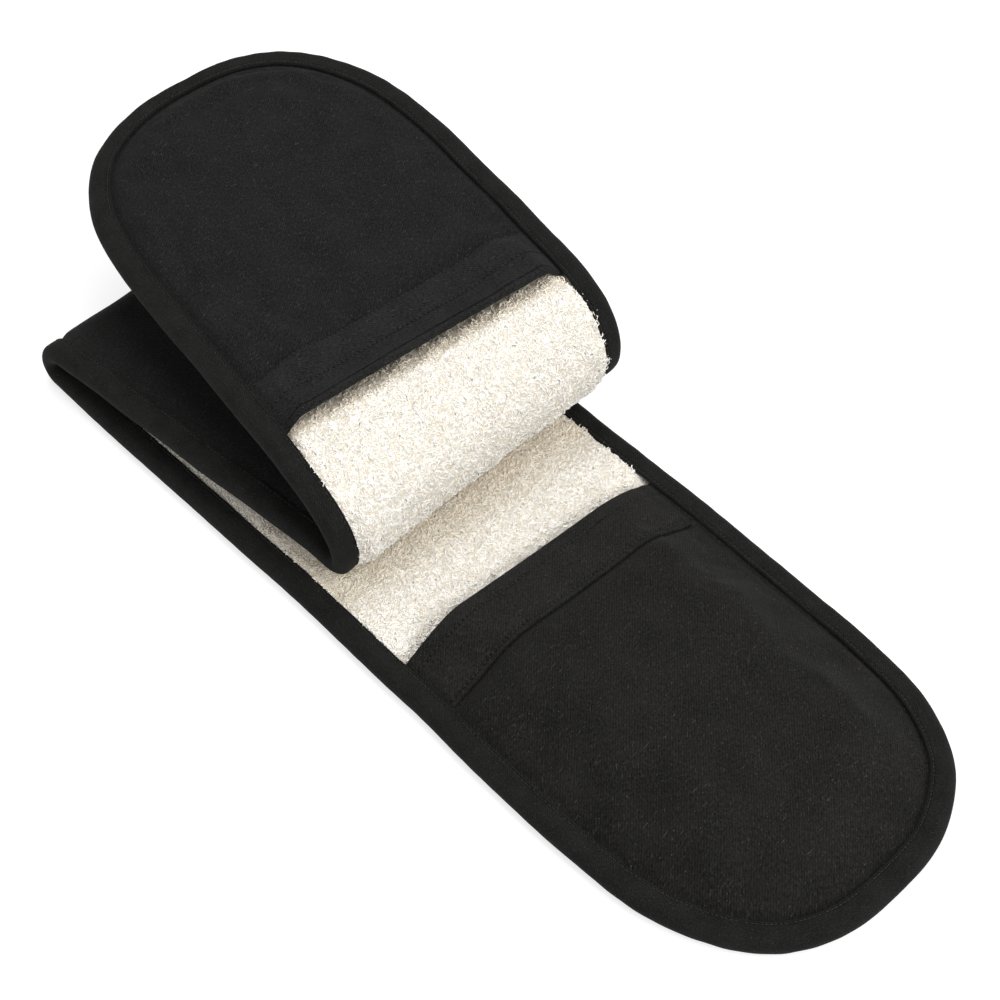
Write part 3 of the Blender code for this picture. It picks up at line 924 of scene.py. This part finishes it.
class GloveYarn(bpy.types.PropertyGroup):
    loop_spacing: FloatProperty(
        name="Loop spacing", unit="LENGTH", default=0.00120, description="Distance between terry loops"
    )
    loop_length: FloatProperty(
        name="Loop length", unit="LENGTH", default=0.0023, description="How far a loop lies along the cloth"
    )
    loop_height: FloatProperty(
        name="Loop height", unit="LENGTH", default=0.0022, description="How high a loop stands"
    )
    ground_share: FloatProperty(
        name="Ground share", subtype="FACTOR", default=0.76,
        description="How much of the loops' height the matted pile fills",
    )
    yarn_radius: FloatProperty(
        name="Yarn radius", unit="LENGTH", default=0.00032, description="Radius of the loops' yarn"
    )
    thread_radius: FloatProperty(
        name="Thread radius", unit="LENGTH", default=0.00022, description="Radius of the sewing thread"
    )
    stitch_pitch: FloatProperty(
        name="Stitch pitch", unit="LENGTH", default=0.0023, description="Distance from stitch to stitch"
    )
    seed: IntProperty(name="Seed", description="Scatter of the loops", default=7)


class GloveStudio(bpy.types.PropertyGroup):
    target: FloatVectorProperty(
        name="Target", subtype="XYZ", default=(0.0166, -0.0090, 0.0297),
        description="Point that the camera looks at",
    )
    azimuth: FloatProperty(
        name="Azimuth", unit="ROTATION", default=radians(48.03), description="Where the camera looks from"
    )
    elevation: FloatProperty(
        name="Elevation", unit="ROTATION", default=radians(51.16), description="Height of the camera's view"
    )
    roll: FloatProperty(
        name="Roll", unit="ROTATION", default=radians(-0.82), description="Tilt of the camera"
    )
    distance: FloatProperty(
        name="Distance", unit="LENGTH", default=0.9304, description="From the camera to its target"
    )
    lens: FloatProperty(
        name="Lens", unit="CAMERA", default=75.76, description="Focal length in millimetres"
    )
    air: FloatProperty(name="Room light", description="Even light from all sides", default=0.36)
    key: FloatProperty(
        name="Key light", unit="POWER", default=17.0, description="Watts of the low soft lamp"
    )
    high: FloatProperty(
        name="High light", unit="POWER", default=21.0, description="Watts of the lamp above it"
    )
    fill: FloatProperty(
        name="Fill light", unit="POWER", default=10.0, description="Watts of the lamp in front"
    )
    back: FloatProperty(
        name="Back light", unit="POWER", default=22.0, description="Watts of the high lamp behind"
    )


def share_bends(piece, stretch, layer, *rises):
    """What all pieces of a stretch share: each goes through bend_with."""
    bend_with(piece, stretch, *rises)


def flat_area(run_start, run_end):
    """Area of a length of the strip's cloth before it was folded."""
    runs = np.linspace(run_start, run_end, round(strip_width / tape_cell))
    widths = half_width_at(reach_of(runs), 0)
    return float(np.sum((widths[1:] + widths[:-1]) * np.diff(runs)))


def declare_cloth(stretch):
    """Works out a stretch's length, how its cloth is held and its flat area, and keeps none of it."""
    length = stretch["runs"][1] - stretch["runs"][0]
    held = "laid" if stretch["name"] == "lower" else "folded"
    area = flat_area(*stretch["runs"])


def lengths_along(first, second):
    """Length of a path up to each of its points, from two tables of it."""
    return np.concatenate([[0], np.cumsum(np.hypot(np.diff(first), np.diff(second)))])


class GLOVE_OT_strip(bpy.types.Operator):
    """Make the backing cloth and the wadding of the whole strip"""

    bl_idname = "glove.strip"
    bl_label = "Padded strip"

    def execute(self, context):
        colours, yarn = context.scene.glove_colours, context.scene.glove_yarn
        shaded = shade(colours.wadding, 0.9)
        twill = twill_look("black_twill_backing", colours.twill, twill_pitch, 0.6)
        fibre = yarn_look("white_wadding_fibre", colours.wadding, shaded, fibre_grains)
        for stretch in stretches:
            self.back(stretch, twill)
            self.fill(stretch, fibre, yarn)
        return {"FINISHED"}

    def back(self, stretch, look):
        run, side = flat_grid(*stretch["runs"], binding_depth / 2, cloth_cell)
        low = floor_faces(run, side)[0] - cloth_relief(run, side, 11)
        low = np.where(run < lower_end, np.maximum(low, 0), low)
        flat = np.stack([run, side], -1)
        outer, inner = course.laid(run, side, low), course.laid(run, side, low + backing_cloth)
        rows = cut_rows(*stretch["runs"])
        backing = layered(f"{stretch['name']}_backing_cloth", outer, inner, flat, look, rows)
        share_bends(backing, stretch, "black_twill", 0, backing_cloth)
        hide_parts(*[f"{node}_backing" for node in stretch["nodes"]])
        declare_cloth(stretch)

    def fill(self, stretch, look, yarn):
        run, side = flat_grid(*stretch["runs"], binding_depth / 2 + piece_gap, pad_cell)
        low, high = floor_faces(run, side)
        low = low + backing_cloth + piece_gap + wave_height
        high = np.maximum(high - yarn.loop_height - backing_cloth - piece_gap, low + piece_gap)
        rows = cut_rows(*stretch["runs"])
        wadding = slab(f"{stretch['name']}_wadding_layer", run, side, low, high, look, rows)
        share_bends(wadding, stretch, "white_wadding", grip_start, grip_end)
        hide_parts(*[f"{node}_wadding" for node in stretch["nodes"]])


class GLOVE_OT_terry(bpy.types.Operator):
    """Lay the terry cloth and cover it with its loops of yarn"""

    bl_idname = "glove.terry"
    bl_label = "Terry"

    def execute(self, context):
        colours, yarn = context.scene.glove_colours, context.scene.glove_yarn
        top, painted_shade_colour = colours.terry, colours.terry_painted_shade
        # Both looks carry painted shade: down in the pile, in its hollows, in the fold's crease and under
        # the lip
        ground = matted_look("cream_terry_ground", top, colours.terry_hollow_shade, painted_shade_colour)
        pile = loop_look("cream_terry_yarn", top, colours.terry_depth_shade, painted_shade_colour)
        for count, stretch in enumerate(stretches):
            cloth = self.weave(stretch, ground, yarn)
            generator = np.random.default_rng(yarn.seed + count)
            loops = self.cover(stretch, pile, yarn, generator)
            declare_cloth(stretch)
        return {"FINISHED"}

    def weave(self, stretch, look, yarn):
        """The cloth under the loops, with the matted pile between them."""
        run, side = flat_grid(*stretch["runs"], binding_depth / 2, cloth_cell)
        sunk = yarn.loop_height * (1 - yarn.ground_share)
        top = floor_faces(run, side)[1] + pile_relief(run, side) - sunk
        rows = cut_rows(*stretch["runs"])
        cloth = slab(f"{stretch['name']}_terry_cloth", run, side, top - backing_cloth, top, look, rows)
        share_bends(cloth, stretch, "cream_terry", open_depth - terry_pile, open_depth)
        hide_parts(*[f"{node}_terry" for node in stretch["nodes"]])
        return cloth

    def cover(self, stretch, look, yarn, generator):
        """Loops of one stretch, over the whole cloth and again along its edges."""
        start = max(stretch["runs"][0], pocket_length - hem_width)
        end = min(stretch["runs"][1], total_length - pocket_length + hem_width)
        edge = half_width - binding_width
        runs = np.arange(start, end, yarn.loop_spacing)
        sides = np.arange(-edge, edge, yarn.loop_spacing)
        run, side = [table.ravel() for table in np.meshgrid(runs, sides, indexing="ij")]
        spread = generator.uniform(-loop_spread, loop_spread, (2, len(run))) * yarn.loop_spacing
        side = side * (1 + edge_shift(run, side) / edge)
        inner = self.grow(run + spread[0], side + spread[1], 0, yarn, generator)
        start, end = max(start, pocket_length), min(end, total_length - pocket_length)
        border = np.repeat(np.arange(start, end, yarn.loop_spacing * loop_spread), 2)
        hand = np.tile([-1.0, 1.0], len(border) // 2)
        stray = generator.uniform(-1, 1, (2, len(border))) * yarn.loop_spacing
        inward = 3 * piece_gap - stray[1] / 2 - edge_shift(border, hand * edge)
        outer = self.grow(border + stray[0], hand * (edge - inward), hand, yarn, generator)
        paths = np.concatenate([inner, outer])
        whole = (paths[..., 0].min(1) > stretch["runs"][0]) & (paths[..., 0].max(1) < stretch["runs"][1])
        run, side, rise, share = np.moveaxis(paths[whole], -1, 0)
        points = course.laid(run, side, rise)
        places = np.stack([np.repeat(run[:, :1], run.shape[1], 1), share], -1)
        loops = tubes(f"{stretch['name']}_terry_loops", points, yarn.yarn_radius, yarn_sides, look, places)
        share_bends(loops, stretch, "cream_terry", open_depth - terry_pile, open_depth)
        return loops

    def grow(self, run, side, hand, yarn, generator):
        """Paths of single loops as runs, sides and rises; they lie over in tufts."""
        count = len(run)
        turn = generator.uniform(0, 2 * pi, count)
        shorter, steadier = [1 - share * np.abs(hand) for share in border_calm]
        length = yarn.loop_length * generator.uniform(*loop_lengths, count) * shorter
        height = yarn.loop_height * generator.uniform(*loop_heights, count)
        stray = generator.normal(0, loop_stray, (2, count))
        stray = np.clip(stray, -loop_stray_cap, loop_stray_cap)
        leans = [loop_lean * waves(run, side, lean_wave_length, seed) for seed in (67, 71)]
        lean_run = leans[0] + stray[0]
        lean_side = leans[1] * steadier + stray[1] + border_lean * hand
        twist = generator.normal(0, loop_twist, count) * length
        base = floor_faces(run, side)[1] + pile_relief(run, side) - yarn.loop_height - yarn.yarn_radius
        base = base - np.abs(hand) * yarn.yarn_radius
        share = np.linspace(0, 1, path_points)[None, :]
        ahead = -np.cos(pi * share) * length[:, None] / 2
        bow = np.sin(pi * share) ** loop_fullness
        up = bow * height[:, None]
        sway = np.sin(2 * pi * share) * twist[:, None]
        cosine, sine = np.cos(turn)[:, None], np.sin(turn)[:, None]
        run = run[:, None] + ahead * cosine - sway * sine + up * lean_run[:, None]
        side = side[:, None] + ahead * sine + sway * cosine + up * lean_side[:, None]
        return np.stack([run, side, base[:, None] + up, np.broadcast_to(bow, up.shape)], -1)


def stitch_form(yarn):
    """Places along a stitch, as shares of its pitch, and how far it bows there."""
    share = np.linspace(*stitch_span, path_points)[None, :]
    return share, (np.sin(pi * share) * stitch_bow - stitch_sink) * yarn.thread_radius


def tape_section(count):
    """Outside of the folded tape, as insets from the edge and rises."""
    middle = binding_depth / 2
    face = [(binding_width - back, binding_depth + drop) for back, drop in tape_turn_in]
    turns = [pi * step / count for step in range(count + 1)]
    points = face + [(middle * (1 - sin(turn)), middle * (1 + cos(turn))) for turn in turns]
    points += [(inset, binding_depth - rise) for inset, rise in face[::-1]]
    return np.array(points)


def outline_path(run_start, run_end, hand):
    """Edge of a stretch: run, side, and the inward direction on the flat cloth.

    A stretch with a round end has one path round its tip, and any other has
    one on each hand. A spare point lies beyond each cut.
    """
    if run_start > 0 and run_end < total_length:
        count = max(4, round((run_end - run_start) / tape_cell))
        step = (run_end - run_start) / count
        runs = np.linspace(run_start - step, run_end + step, count + 3)
        return runs, np.full_like(runs, hand * half_width), np.zeros_like(runs), np.full_like(runs, -hand)
    far = run_end if run_start == 0 else total_length - run_start
    count = round((far - pocket_tip_length) / tape_cell)
    step = (far - pocket_tip_length) / count
    straight = np.linspace(far + step, pocket_tip_length, count + 2)
    power = tip_fullness_share
    angle = np.linspace(pi / 2, 0, round(1.25 * pocket_tip_length / tape_cell))[1:]
    forward, sideways = np.cos(angle) ** (2 / power), np.sin(angle) ** (2 / power)
    reach = np.concatenate([straight, pocket_tip_length * (1 - forward)])
    side = np.concatenate([np.full_like(straight, half_width), half_width * sideways])
    slope = np.concatenate([0 * straight, forward ** (power - 1) / pocket_tip_length])
    flank = np.concatenate([0 * straight + 1 / half_width, sideways ** (power - 1) / half_width])
    size = np.hypot(slope, flank)
    reach, slope = [np.concatenate([table, table[-2::-1]]) for table in (reach, slope / size)]
    side, flank = [np.concatenate([table, -table[-2::-1]]) for table in (side, flank / size)]
    if run_start == 0:
        return reach, side, slope, -flank
    return total_length - reach[::-1], side[::-1], -slope[::-1], -flank[::-1]


class GLOVE_OT_binding(bpy.types.Operator):
    """Fold the binding tape round the strip's edge and stitch it down"""

    bl_idname = "glove.binding"
    bl_label = "Binding"

    def execute(self, context):
        colours, yarn = context.scene.glove_colours, context.scene.glove_yarn
        section = tape_section(tape_turns)
        across = lengths_along(*section.T)
        lines = (float(across[stitch_row]), float(across[-1 - stitch_row]))
        tape = tape_look("black_binding_tape", colours.tape, tape_pitch, yarn.stitch_pitch, lines)
        # The thread is black like the tape; its lighter tones are a painted glint
        binding_glint_tones = shade(colours.tape, 4.5), shade(colours.tape, 1.2)
        thread = yarn_look("black_binding_thread", *binding_glint_tones, thread_grains)
        for stretch in stretches:
            ended = stretch["name"] in ("lower", "upper")
            for hand, ending in ((0, ""),) if ended else ((-1, "_near"), (1, "_far")):
                path = self.wobbled(*outline_path(*stretch["runs"], hand))
                strip = self.fold(stretch, ending, path, section, across, tape)
                row = self.stitch(stretch, ending, path, section, yarn, thread)
                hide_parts(*[f"{node}_binding{ending}" for node in stretch["nodes"]])
        return {"FINISHED"}

    def wobbled(self, run, side, slope, flank):
        """The edge's path, with the small unevenness of a sewn edge."""
        wobble = wobble_height * waves(run, side, wobble_length, 3) - edge_shift(run, side)
        return run + slope * wobble, side + flank * wobble, slope, flank

    def fold(self, stretch, ending, path, section, across, look):
        """The tape of a stretch, folded round the path of its edge."""
        run, side, slope, flank = [table[:, None] for table in path]
        middle = binding_depth / 2
        inset, rise = section[:, 0], section[:, 1]
        lift = np.sign(rise - middle) * lift_height * waves(run, side, lift_length, 5)
        points = course.laid(run + slope * inset, side + flank * inset, rise + lift)
        flat = np.stack(np.broadcast_arrays(lengths_along(*path[:2])[:, None], across), -1)
        if self.faces_in(points, course.laid(run + slope * middle, side + flank * middle, middle)):
            points, flat = points[:, ::-1], flat[:, ::-1]
        name = f"{stretch['name']}_binding_tape{ending}"
        strip = thickened(name, points, binding_cloth, flat, look, slice(1, -1))
        share_bends(strip, stretch, "black_bias_binding", 0, binding_depth)
        return strip

    @staticmethod
    def faces_in(points, middle):
        """Whether a tape's faces turn towards the middle of the cloth's edge."""
        outward = points - middle
        return float(np.sum(grid_normals(points) * outward)) < 0

    def stitch(self, stretch, ending, path, section, yarn, look):
        """Short bowed lengths of thread on both faces of the tape."""
        along = lengths_along(*path[:2])
        holes = np.arange(along[1], along[-2] - yarn.stitch_pitch, yarn.stitch_pitch)
        share, bow = stitch_form(yarn)
        place = holes[:, None] + share * yarn.stitch_pitch
        run, side, slope, flank = [np.interp(place, along, table) for table in path]
        rows = []
        for inset, rise in (section[stitch_row], section[-1 - stitch_row]):
            bowed = rise + bow * np.sign(rise - binding_depth / 2)
            rows.append(course.laid(run + slope * inset, side + flank * inset, bowed))
        name = f"{stretch['name']}_binding_stitches{ending}"
        row = tubes(name, np.concatenate(rows), yarn.thread_radius, thread_sides, look)
        share_bends(row, stretch, "black_bias_binding", 0, binding_depth)
        return row


class GLOVE_OT_pockets(bpy.types.Operator):
    """Make each pocket's shell, wadding, lining and hem band"""

    bl_idname = "glove.pockets"
    bl_label = "Pockets"

    def execute(self, context):
        colours, yarn = context.scene.glove_colours, context.scene.glove_yarn
        fibre, twill = colours.wadding, colours.twill
        fibre_tones = fibre, shade(fibre, 0.9)
        # The hem thread is black like the twill; its lighter tones are a painted glint
        hem_glint_tones = shade(twill, 3.2), shade(twill, 0.9)
        self.looks = {
            "pocket_lining": twill_look("black_plain_lining", colours.lining, plain_pitch, 0.2),
            "pocket_wadding": yarn_look("white_pocket_wadding", *fibre_tones, fibre_grains),
            "thread": yarn_look("black_hem_thread", *hem_glint_tones, thread_grains),
        }
        for pocket in (lower_pocket, upper_pocket):
            tinted = [channel * tint for channel, tint in zip(twill, pocket["tint"])]
            start = hem_width - pocket["seam_gap"] / 2
            sewn = [start - way for way in pocket["stitch_ways"]]
            parts = (("pocket_shell", 1.0, 1.0, ()), ("pocket_hem", pocket["hem_tone"], 0.9, sewn))
            for part, tone, lint, lines in parts:
                name = f"black_twill_{pocket['name']}_{part}"
                settings = (twill_pitch, lint, lines, yarn.stitch_pitch)
                self.looks[part] = twill_look(name, shade(tinted, tone), *settings)
            pocket["puff"] = self.puff(pocket)
            self.sew(pocket, yarn)
        return {"FINISHED"}

    def grid(self, way, cell):
        """Reaches and sides from the tip to a way in from the mouth."""
        inset = binding_depth / 2
        end = pocket_length - way
        straight = np.linspace(pocket_tip_length, end, round((end - pocket_tip_length) / cell) + 1)[1:]
        reach = np.concatenate([tip_reaches(inset, cell), straight])
        shares = column_shares(cell)
        side = half_width_at(reach, inset)[:, None] * shares[None, :]
        return np.repeat(reach[:, None], len(shares), 1), side

    def puff(self, pocket):
        """How a simulated flap swells and creases, as a table over its grid.

        The flap's closed pad is held along its binding and filled with a little
        air, as Cloth does it. What its outer face moved by is kept, capped.
        """
        reach, side = self.grid(0, pad_cell)
        low, high = flap_faces(reach, side, pocket)
        run = run_at(reach, pocket)
        start = [course.laid(run, side, low), course.laid(run, side, high)]
        pad = layered("flap_form", *start, np.stack([run, side], -1), self.looks["pocket_wadding"])
        held = pad.vertex_groups.new(name="held")
        inside = np.concatenate([edge_distance(run, side).ravel()] * 2)
        grip = 1 - smooth_step(inside, binding_edge, binding_edge + 2 * pad_cell)
        for index, weight in enumerate(grip.tolist()):
            held.add([index], weight, "REPLACE")
        cloth = pad.modifiers.new("cloth", "CLOTH")
        for key, value in puff_settings.items():
            setattr(cloth.settings, key, value)
        cloth.settings.vertex_group_mass = "held"
        cloth.settings.effector_weights.gravity = 0.0
        cloth.collision_settings.use_collision = False
        cloth.point_cache.frame_end = puff_frames
        scene = bpy.context.scene
        for step in range(1, puff_frames + 1):
            scene.frame_set(step)
        settled = pad.evaluated_get(bpy.context.evaluated_depsgraph_get())
        shaped = settled.to_mesh()
        points = np.empty(len(shaped.vertices) * 3)
        shaped.vertices.foreach_get("co", points)
        points = points.reshape(2, *reach.shape, 3)
        normals = grid_normals(start[1]) * (-1 if pocket is upper_pocket else 1)
        move = np.sum((points[1] - start[1]) * normals, -1)
        settled.to_mesh_clear()
        scene.frame_set(1)
        bpy.data.objects.remove(pad)
        return reach, side, np.clip(move, -puff_cap, puff_cap)

    def faces(self, reach, side, pocket):
        """Faces of the flap as sewn, with its swelling, waves and puckers."""
        low, high = flap_faces(reach, side, pocket)
        at_reach, at_side, move = pocket["puff"]
        shares = at_side[-1] / at_side[-1, -1]
        width = np.maximum(half_width_at(reach, binding_depth / 2), piece_gap)
        across = np.interp(np.clip(side / width, -1, 1), shares, np.arange(len(shares)))
        along = np.interp(reach, at_reach[:, 0], np.arange(len(at_reach)))
        run = run_at(reach, pocket)
        inside = edge_distance(run, side) - binding_edge
        swelling = read_between(move, along, across) * smooth_step(inside, 0, flap_softness)
        relief = cloth_relief(run, side, 23 if pocket is lower_pocket else 37)
        return low + np.minimum(swelling, swelling / 2), high + swelling + relief

    def sew(self, pocket, yarn):
        """All pieces of a pocket, each attached to the pocket's body in place of its CAD part."""
        name = pocket["name"]
        pieces = {
            "pocket_shell": self.shell(pocket),
            "pocket_lining": self.lining(pocket),
            "pocket_wadding": self.wadding(pocket),
        }
        sewn = {}
        for part, tables in pieces.items():
            sewn[part] = self.laid_piece(f"{name}_{part}_layer", pocket, *tables, self.looks[part])
        sewn["pocket_hem"] = self.hem(pocket)
        thread = self.hem_stitches(pocket, yarn)
        for part, piece in sewn.items():
            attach(piece, pocket["body"])
            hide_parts(f"{name}_{part}")
        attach(thread, pocket["body"])
        for part, way in (("pocket_shell", hem_width), ("pocket_lining", hem_turn_in)):
            reach = pocket_length - way
            flat_area(0, reach)

    def shell(self, pocket):
        """Reaches, sides and two rises of the flap's top, tucked under the hem."""
        reach, side = self.grid(hem_width - shell_tuck, cloth_cell)
        high = self.faces(reach, side, pocket)[1]
        seam = pocket_length - hem_width - pocket["seam_gap"] / 2
        drop = pocket["seam_drop"] * swell(run_at(reach, pocket), side)[0]
        high = high - smooth_step(reach, seam - piece_gap, seam + piece_gap) * drop
        return reach, side, high - shell_cloth, high

    def lining(self, pocket):
        """The same of the cloth inside the pocket."""
        reach, side = self.grid(hem_turn_in + piece_gap, cloth_cell * 1.5)
        low = self.faces(reach, side, pocket)[0]
        return reach, side, low, low + lining_cloth

    def wadding(self, pocket):
        """The same of the padding between the two, thinner beside the hem's seam."""
        reach, side = self.grid(hem_cloth * 4, pad_cell)
        low, high = self.faces(reach, side, pocket)
        low = low + lining_cloth + piece_gap
        from_seam = np.abs(reach - pocket_length + hem_width)
        near_seam = 1 - smooth_step(from_seam, 1.5 * pad_cell, 3 * pad_cell)
        under = shell_cloth + hem_cloth + 4 * piece_gap + wave_height
        under = under + near_seam * 2 * pocket["seam_drop"]
        return reach, side, low, np.maximum(high - under, low + piece_gap / 3)

    def laid_piece(self, name, pocket, reach, side, low, high, look):
        """A piece of the flap, with its rows in the strip's own order."""
        run = run_at(reach, pocket)
        if pocket is upper_pocket:
            run, side, low, high = [table[::-1] for table in (run, side, low, high)]
        return slab(name, run, side, low, high, look)

    def hem(self, pocket):
        """Band over the flap's mouth, from its seam round to its inner end."""
        turn = pocket_flap_depth / 2
        start = hem_width - pocket["seam_gap"] / 2
        first, last = hem_face_ways
        ways = np.concatenate([
            start - np.array(hem_edge_ways),
            np.linspace(start - first, last, 15),
            np.linspace(hem_lip_way, turn, 8),
        ])
        angles = np.linspace(0, pi, 33)[1:]
        inner = np.linspace(turn, hem_turn_in, 5)[1:]
        way = np.concatenate([ways, turn * (1 - np.sin(angles)), inner])
        height = np.concatenate([np.ones(len(ways)), (1 + np.cos(angles)) / 2, 0 * inner])
        turned_down = np.concatenate([hem_edge_drops, np.zeros(len(way) - len(hem_edge_drops))])
        lip = np.exp(-(((way - turn - piece_gap) / lip_line_reach) ** 2)) * (height > 0.9)
        sunk = lip * pocket["lip_groove"] + turned_down
        side = column_shares(cloth_cell) * (half_width - binding_depth / 2)
        reach, side_grid = np.broadcast_arrays(pocket_length - way[:, None], side[None, :])
        low, high = self.faces(reach, side_grid, pocket)
        run = run_at(reach, pocket)
        rise = mix(low, high, height[:, None]) - sunk[:, None] * swell(run, side_grid)[0]
        points = course.laid(run, side_grid, rise)
        along = lengths_along(way, height * pocket_flap_depth)
        flat = np.stack(np.broadcast_arrays(along[:, None], side[None, :]), -1)
        if pocket is upper_pocket:
            points, flat = points[:, ::-1], flat[:, ::-1]
        name = f"{pocket['name']}_pocket_hem_band"
        return thickened(name, points, hem_cloth, flat, self.looks["pocket_hem"])

    def hem_stitches(self, pocket, yarn):
        """Two rows of sewing along the band."""
        width = half_width - binding_width - yarn.stitch_pitch
        share, bow = stitch_form(yarn)
        rows = []
        for way in pocket["stitch_ways"]:
            run = run_at(pocket_length - way, pocket)
            ends = [hand * (width + edge_shift(run, hand * width)) for hand in (-1, 1)]
            starts = np.arange(*ends, yarn.stitch_pitch)
            side = starts[:, None] + share * yarn.stitch_pitch
            reach = np.full_like(side, pocket_length - way)
            high = self.faces(reach, side, pocket)[1]
            rows.append(course.laid(run_at(reach, pocket), side, high + bow))
        name = f"{pocket['name']}_hem_stitches"
        return tubes(name, np.concatenate(rows), yarn.thread_radius, thread_sides, self.looks["thread"])


def read_between(table, rows, columns):
    """Values between the points of a table, on straight lines."""
    row = np.clip(rows.astype(int), 0, table.shape[0] - 2)
    column = np.clip(columns.astype(int), 0, table.shape[1] - 2)
    down, over = rows - row, columns - column
    upper = mix(table[row, column], table[row, column + 1], over)
    return mix(upper, mix(table[row + 1, column], table[row + 1, column + 1], over), down)


# Lamps as name, azimuth and elevation in degrees; size and distance in metres
lamp_places = (("key", 97, 30), ("high", 100, 55), ("fill", 0, 50), ("back", 230, 65))
lamp_size = 1.5
lamp_distance = 2.2

# The floor: its half size, and how bright it is where it is seen and elsewhere
floor_reach = 6.0
floor_glow = 0.66
floor_seen = 0.45
floor_unseen = 0.80


class GLOVE_OT_studio(bpy.types.Operator):
    """Set the white ground, the soft lights and the camera"""

    bl_idname = "glove.studio"
    bl_label = "Studio"

    def execute(self, context):
        studio = context.scene.glove_studio
        context.scene.view_settings.view_transform = "Standard"
        self.ground()
        self.lights(context.scene, studio)
        self.camera(context.scene, studio)
        return {"FINISHED"}

    def ground(self):
        """A white floor that keeps a soft shadow."""
        data = bpy.data.meshes.new("ground")
        form = bmesh.new()
        bmesh.ops.create_grid(form, x_segments=8, y_segments=8, size=floor_reach)
        form.to_mesh(data)
        form.free()
        graph = Graph("white_ground")
        path = graph.node("ShaderNodeLightPath", outlet="Is Camera Ray")
        gloss, glass = path.outlet("Is Glossy Ray"), path.outlet("Is Transmission Ray")
        seen = graph.maths("MAXIMUM", path, graph.maths("MAXIMUM", gloss, glass))
        glow = graph.node("ShaderNodeEmission", Color=shade((1, 1, 1)), Strength=floor_glow)
        paper = graph.node("ShaderNodeBsdfDiffuse", Color=shade((1, 1, 1), floor_seen))
        both = graph.node("ShaderNodeAddShader", in0=glow, in1=paper)
        plain = graph.node("ShaderNodeBsdfDiffuse", Color=shade((1, 1, 1), floor_unseen))
        floor = graph.node("ShaderNodeMixShader", in0=seen, in1=plain, in2=both)
        graph.feed(graph.output.inputs["Surface"], floor)
        graph.tree.nodes.remove(graph.shader)
        ground = new_piece("ground", data, graph.material)
        ground.location.z = -piece_gap

    def lights(self, scene, studio):
        """Four soft lamps and even air."""
        for name, azimuth, elevation in lamp_places:
            lamp = bpy.data.lights.new(f"{name}_light", "AREA")
            lamp.shape = "DISK"
            lamp.size = lamp_size
            lamp.energy = getattr(studio, name)
            light = bpy.data.objects.new(f"{name}_light", lamp)
            direction = heading(radians(azimuth), radians(elevation))
            light.location = direction * lamp_distance
            light.rotation_euler = direction.to_track_quat("Z", "Y").to_euler()
            bpy.context.collection.objects.link(light)
        world = bpy.data.worlds.new("studio_air")
        world.use_nodes = True
        air = world.node_tree.nodes["Background"]
        air.inputs["Color"].default_value = (1, 1, 1, 1)
        air.inputs["Strength"].default_value = studio.air
        scene.world = world

    def camera(self, scene, studio):
        data = bpy.data.cameras.new("camera")
        data.lens = studio.lens
        data.sensor_width = 36.0
        camera = bpy.data.objects.new("camera", data)
        direction = heading(studio.azimuth, studio.elevation)
        turn = direction.to_track_quat("Z", "Y") @ Quaternion((0, 0, 1), studio.roll)
        place = Matrix.Translation(Vector(studio.target) + direction * studio.distance)
        camera.matrix_world = place @ turn.to_matrix().to_4x4()
        bpy.context.collection.objects.link(camera)
        scene.camera = camera


def heading(azimuth, elevation):
    """Direction from the object to where it is seen or lit from."""
    return Vector((sin(azimuth) * cos(elevation), -cos(azimuth) * cos(elevation), sin(elevation)))


class GLOVE_PT_panel(bpy.types.Panel):
    """Steps that dress the oven glove"""

    bl_label = "Oven Glove"
    bl_idname = "GLOVE_PT_panel"
    bl_space_type = "VIEW_3D"
    bl_region_type = "UI"
    bl_category = "Oven Glove"

    def draw(self, context):
        scene = context.scene
        for group in (scene.glove_colours, scene.glove_yarn, scene.glove_studio):
            for key in group.__annotations__:
                self.layout.prop(group, key)
        for step in steps:
            self.layout.operator(step.bl_idname)


steps = (GLOVE_OT_strip, GLOVE_OT_terry, GLOVE_OT_binding, GLOVE_OT_pockets, GLOVE_OT_studio)
classes = (GloveColours, GloveYarn, GloveStudio, *steps, GLOVE_PT_panel)


def register():
    for item in classes:
        bpy.utils.register_class(item)
    bpy.types.Scene.glove_colours = PointerProperty(type=GloveColours)
    bpy.types.Scene.glove_yarn = PointerProperty(type=GloveYarn)
    bpy.types.Scene.glove_studio = PointerProperty(type=GloveStudio)


def unregister():
    del bpy.types.Scene.glove_studio
    del bpy.types.Scene.glove_yarn
    del bpy.types.Scene.glove_colours
    for item in reversed(classes):
        bpy.utils.unregister_class(item)


def main():
    register()
    bpy.ops.glove.strip()
    bpy.ops.glove.terry()
    bpy.ops.glove.binding()
    bpy.ops.glove.pockets()
    bpy.ops.glove.studio()


if __name__ == "__main__":
    main()
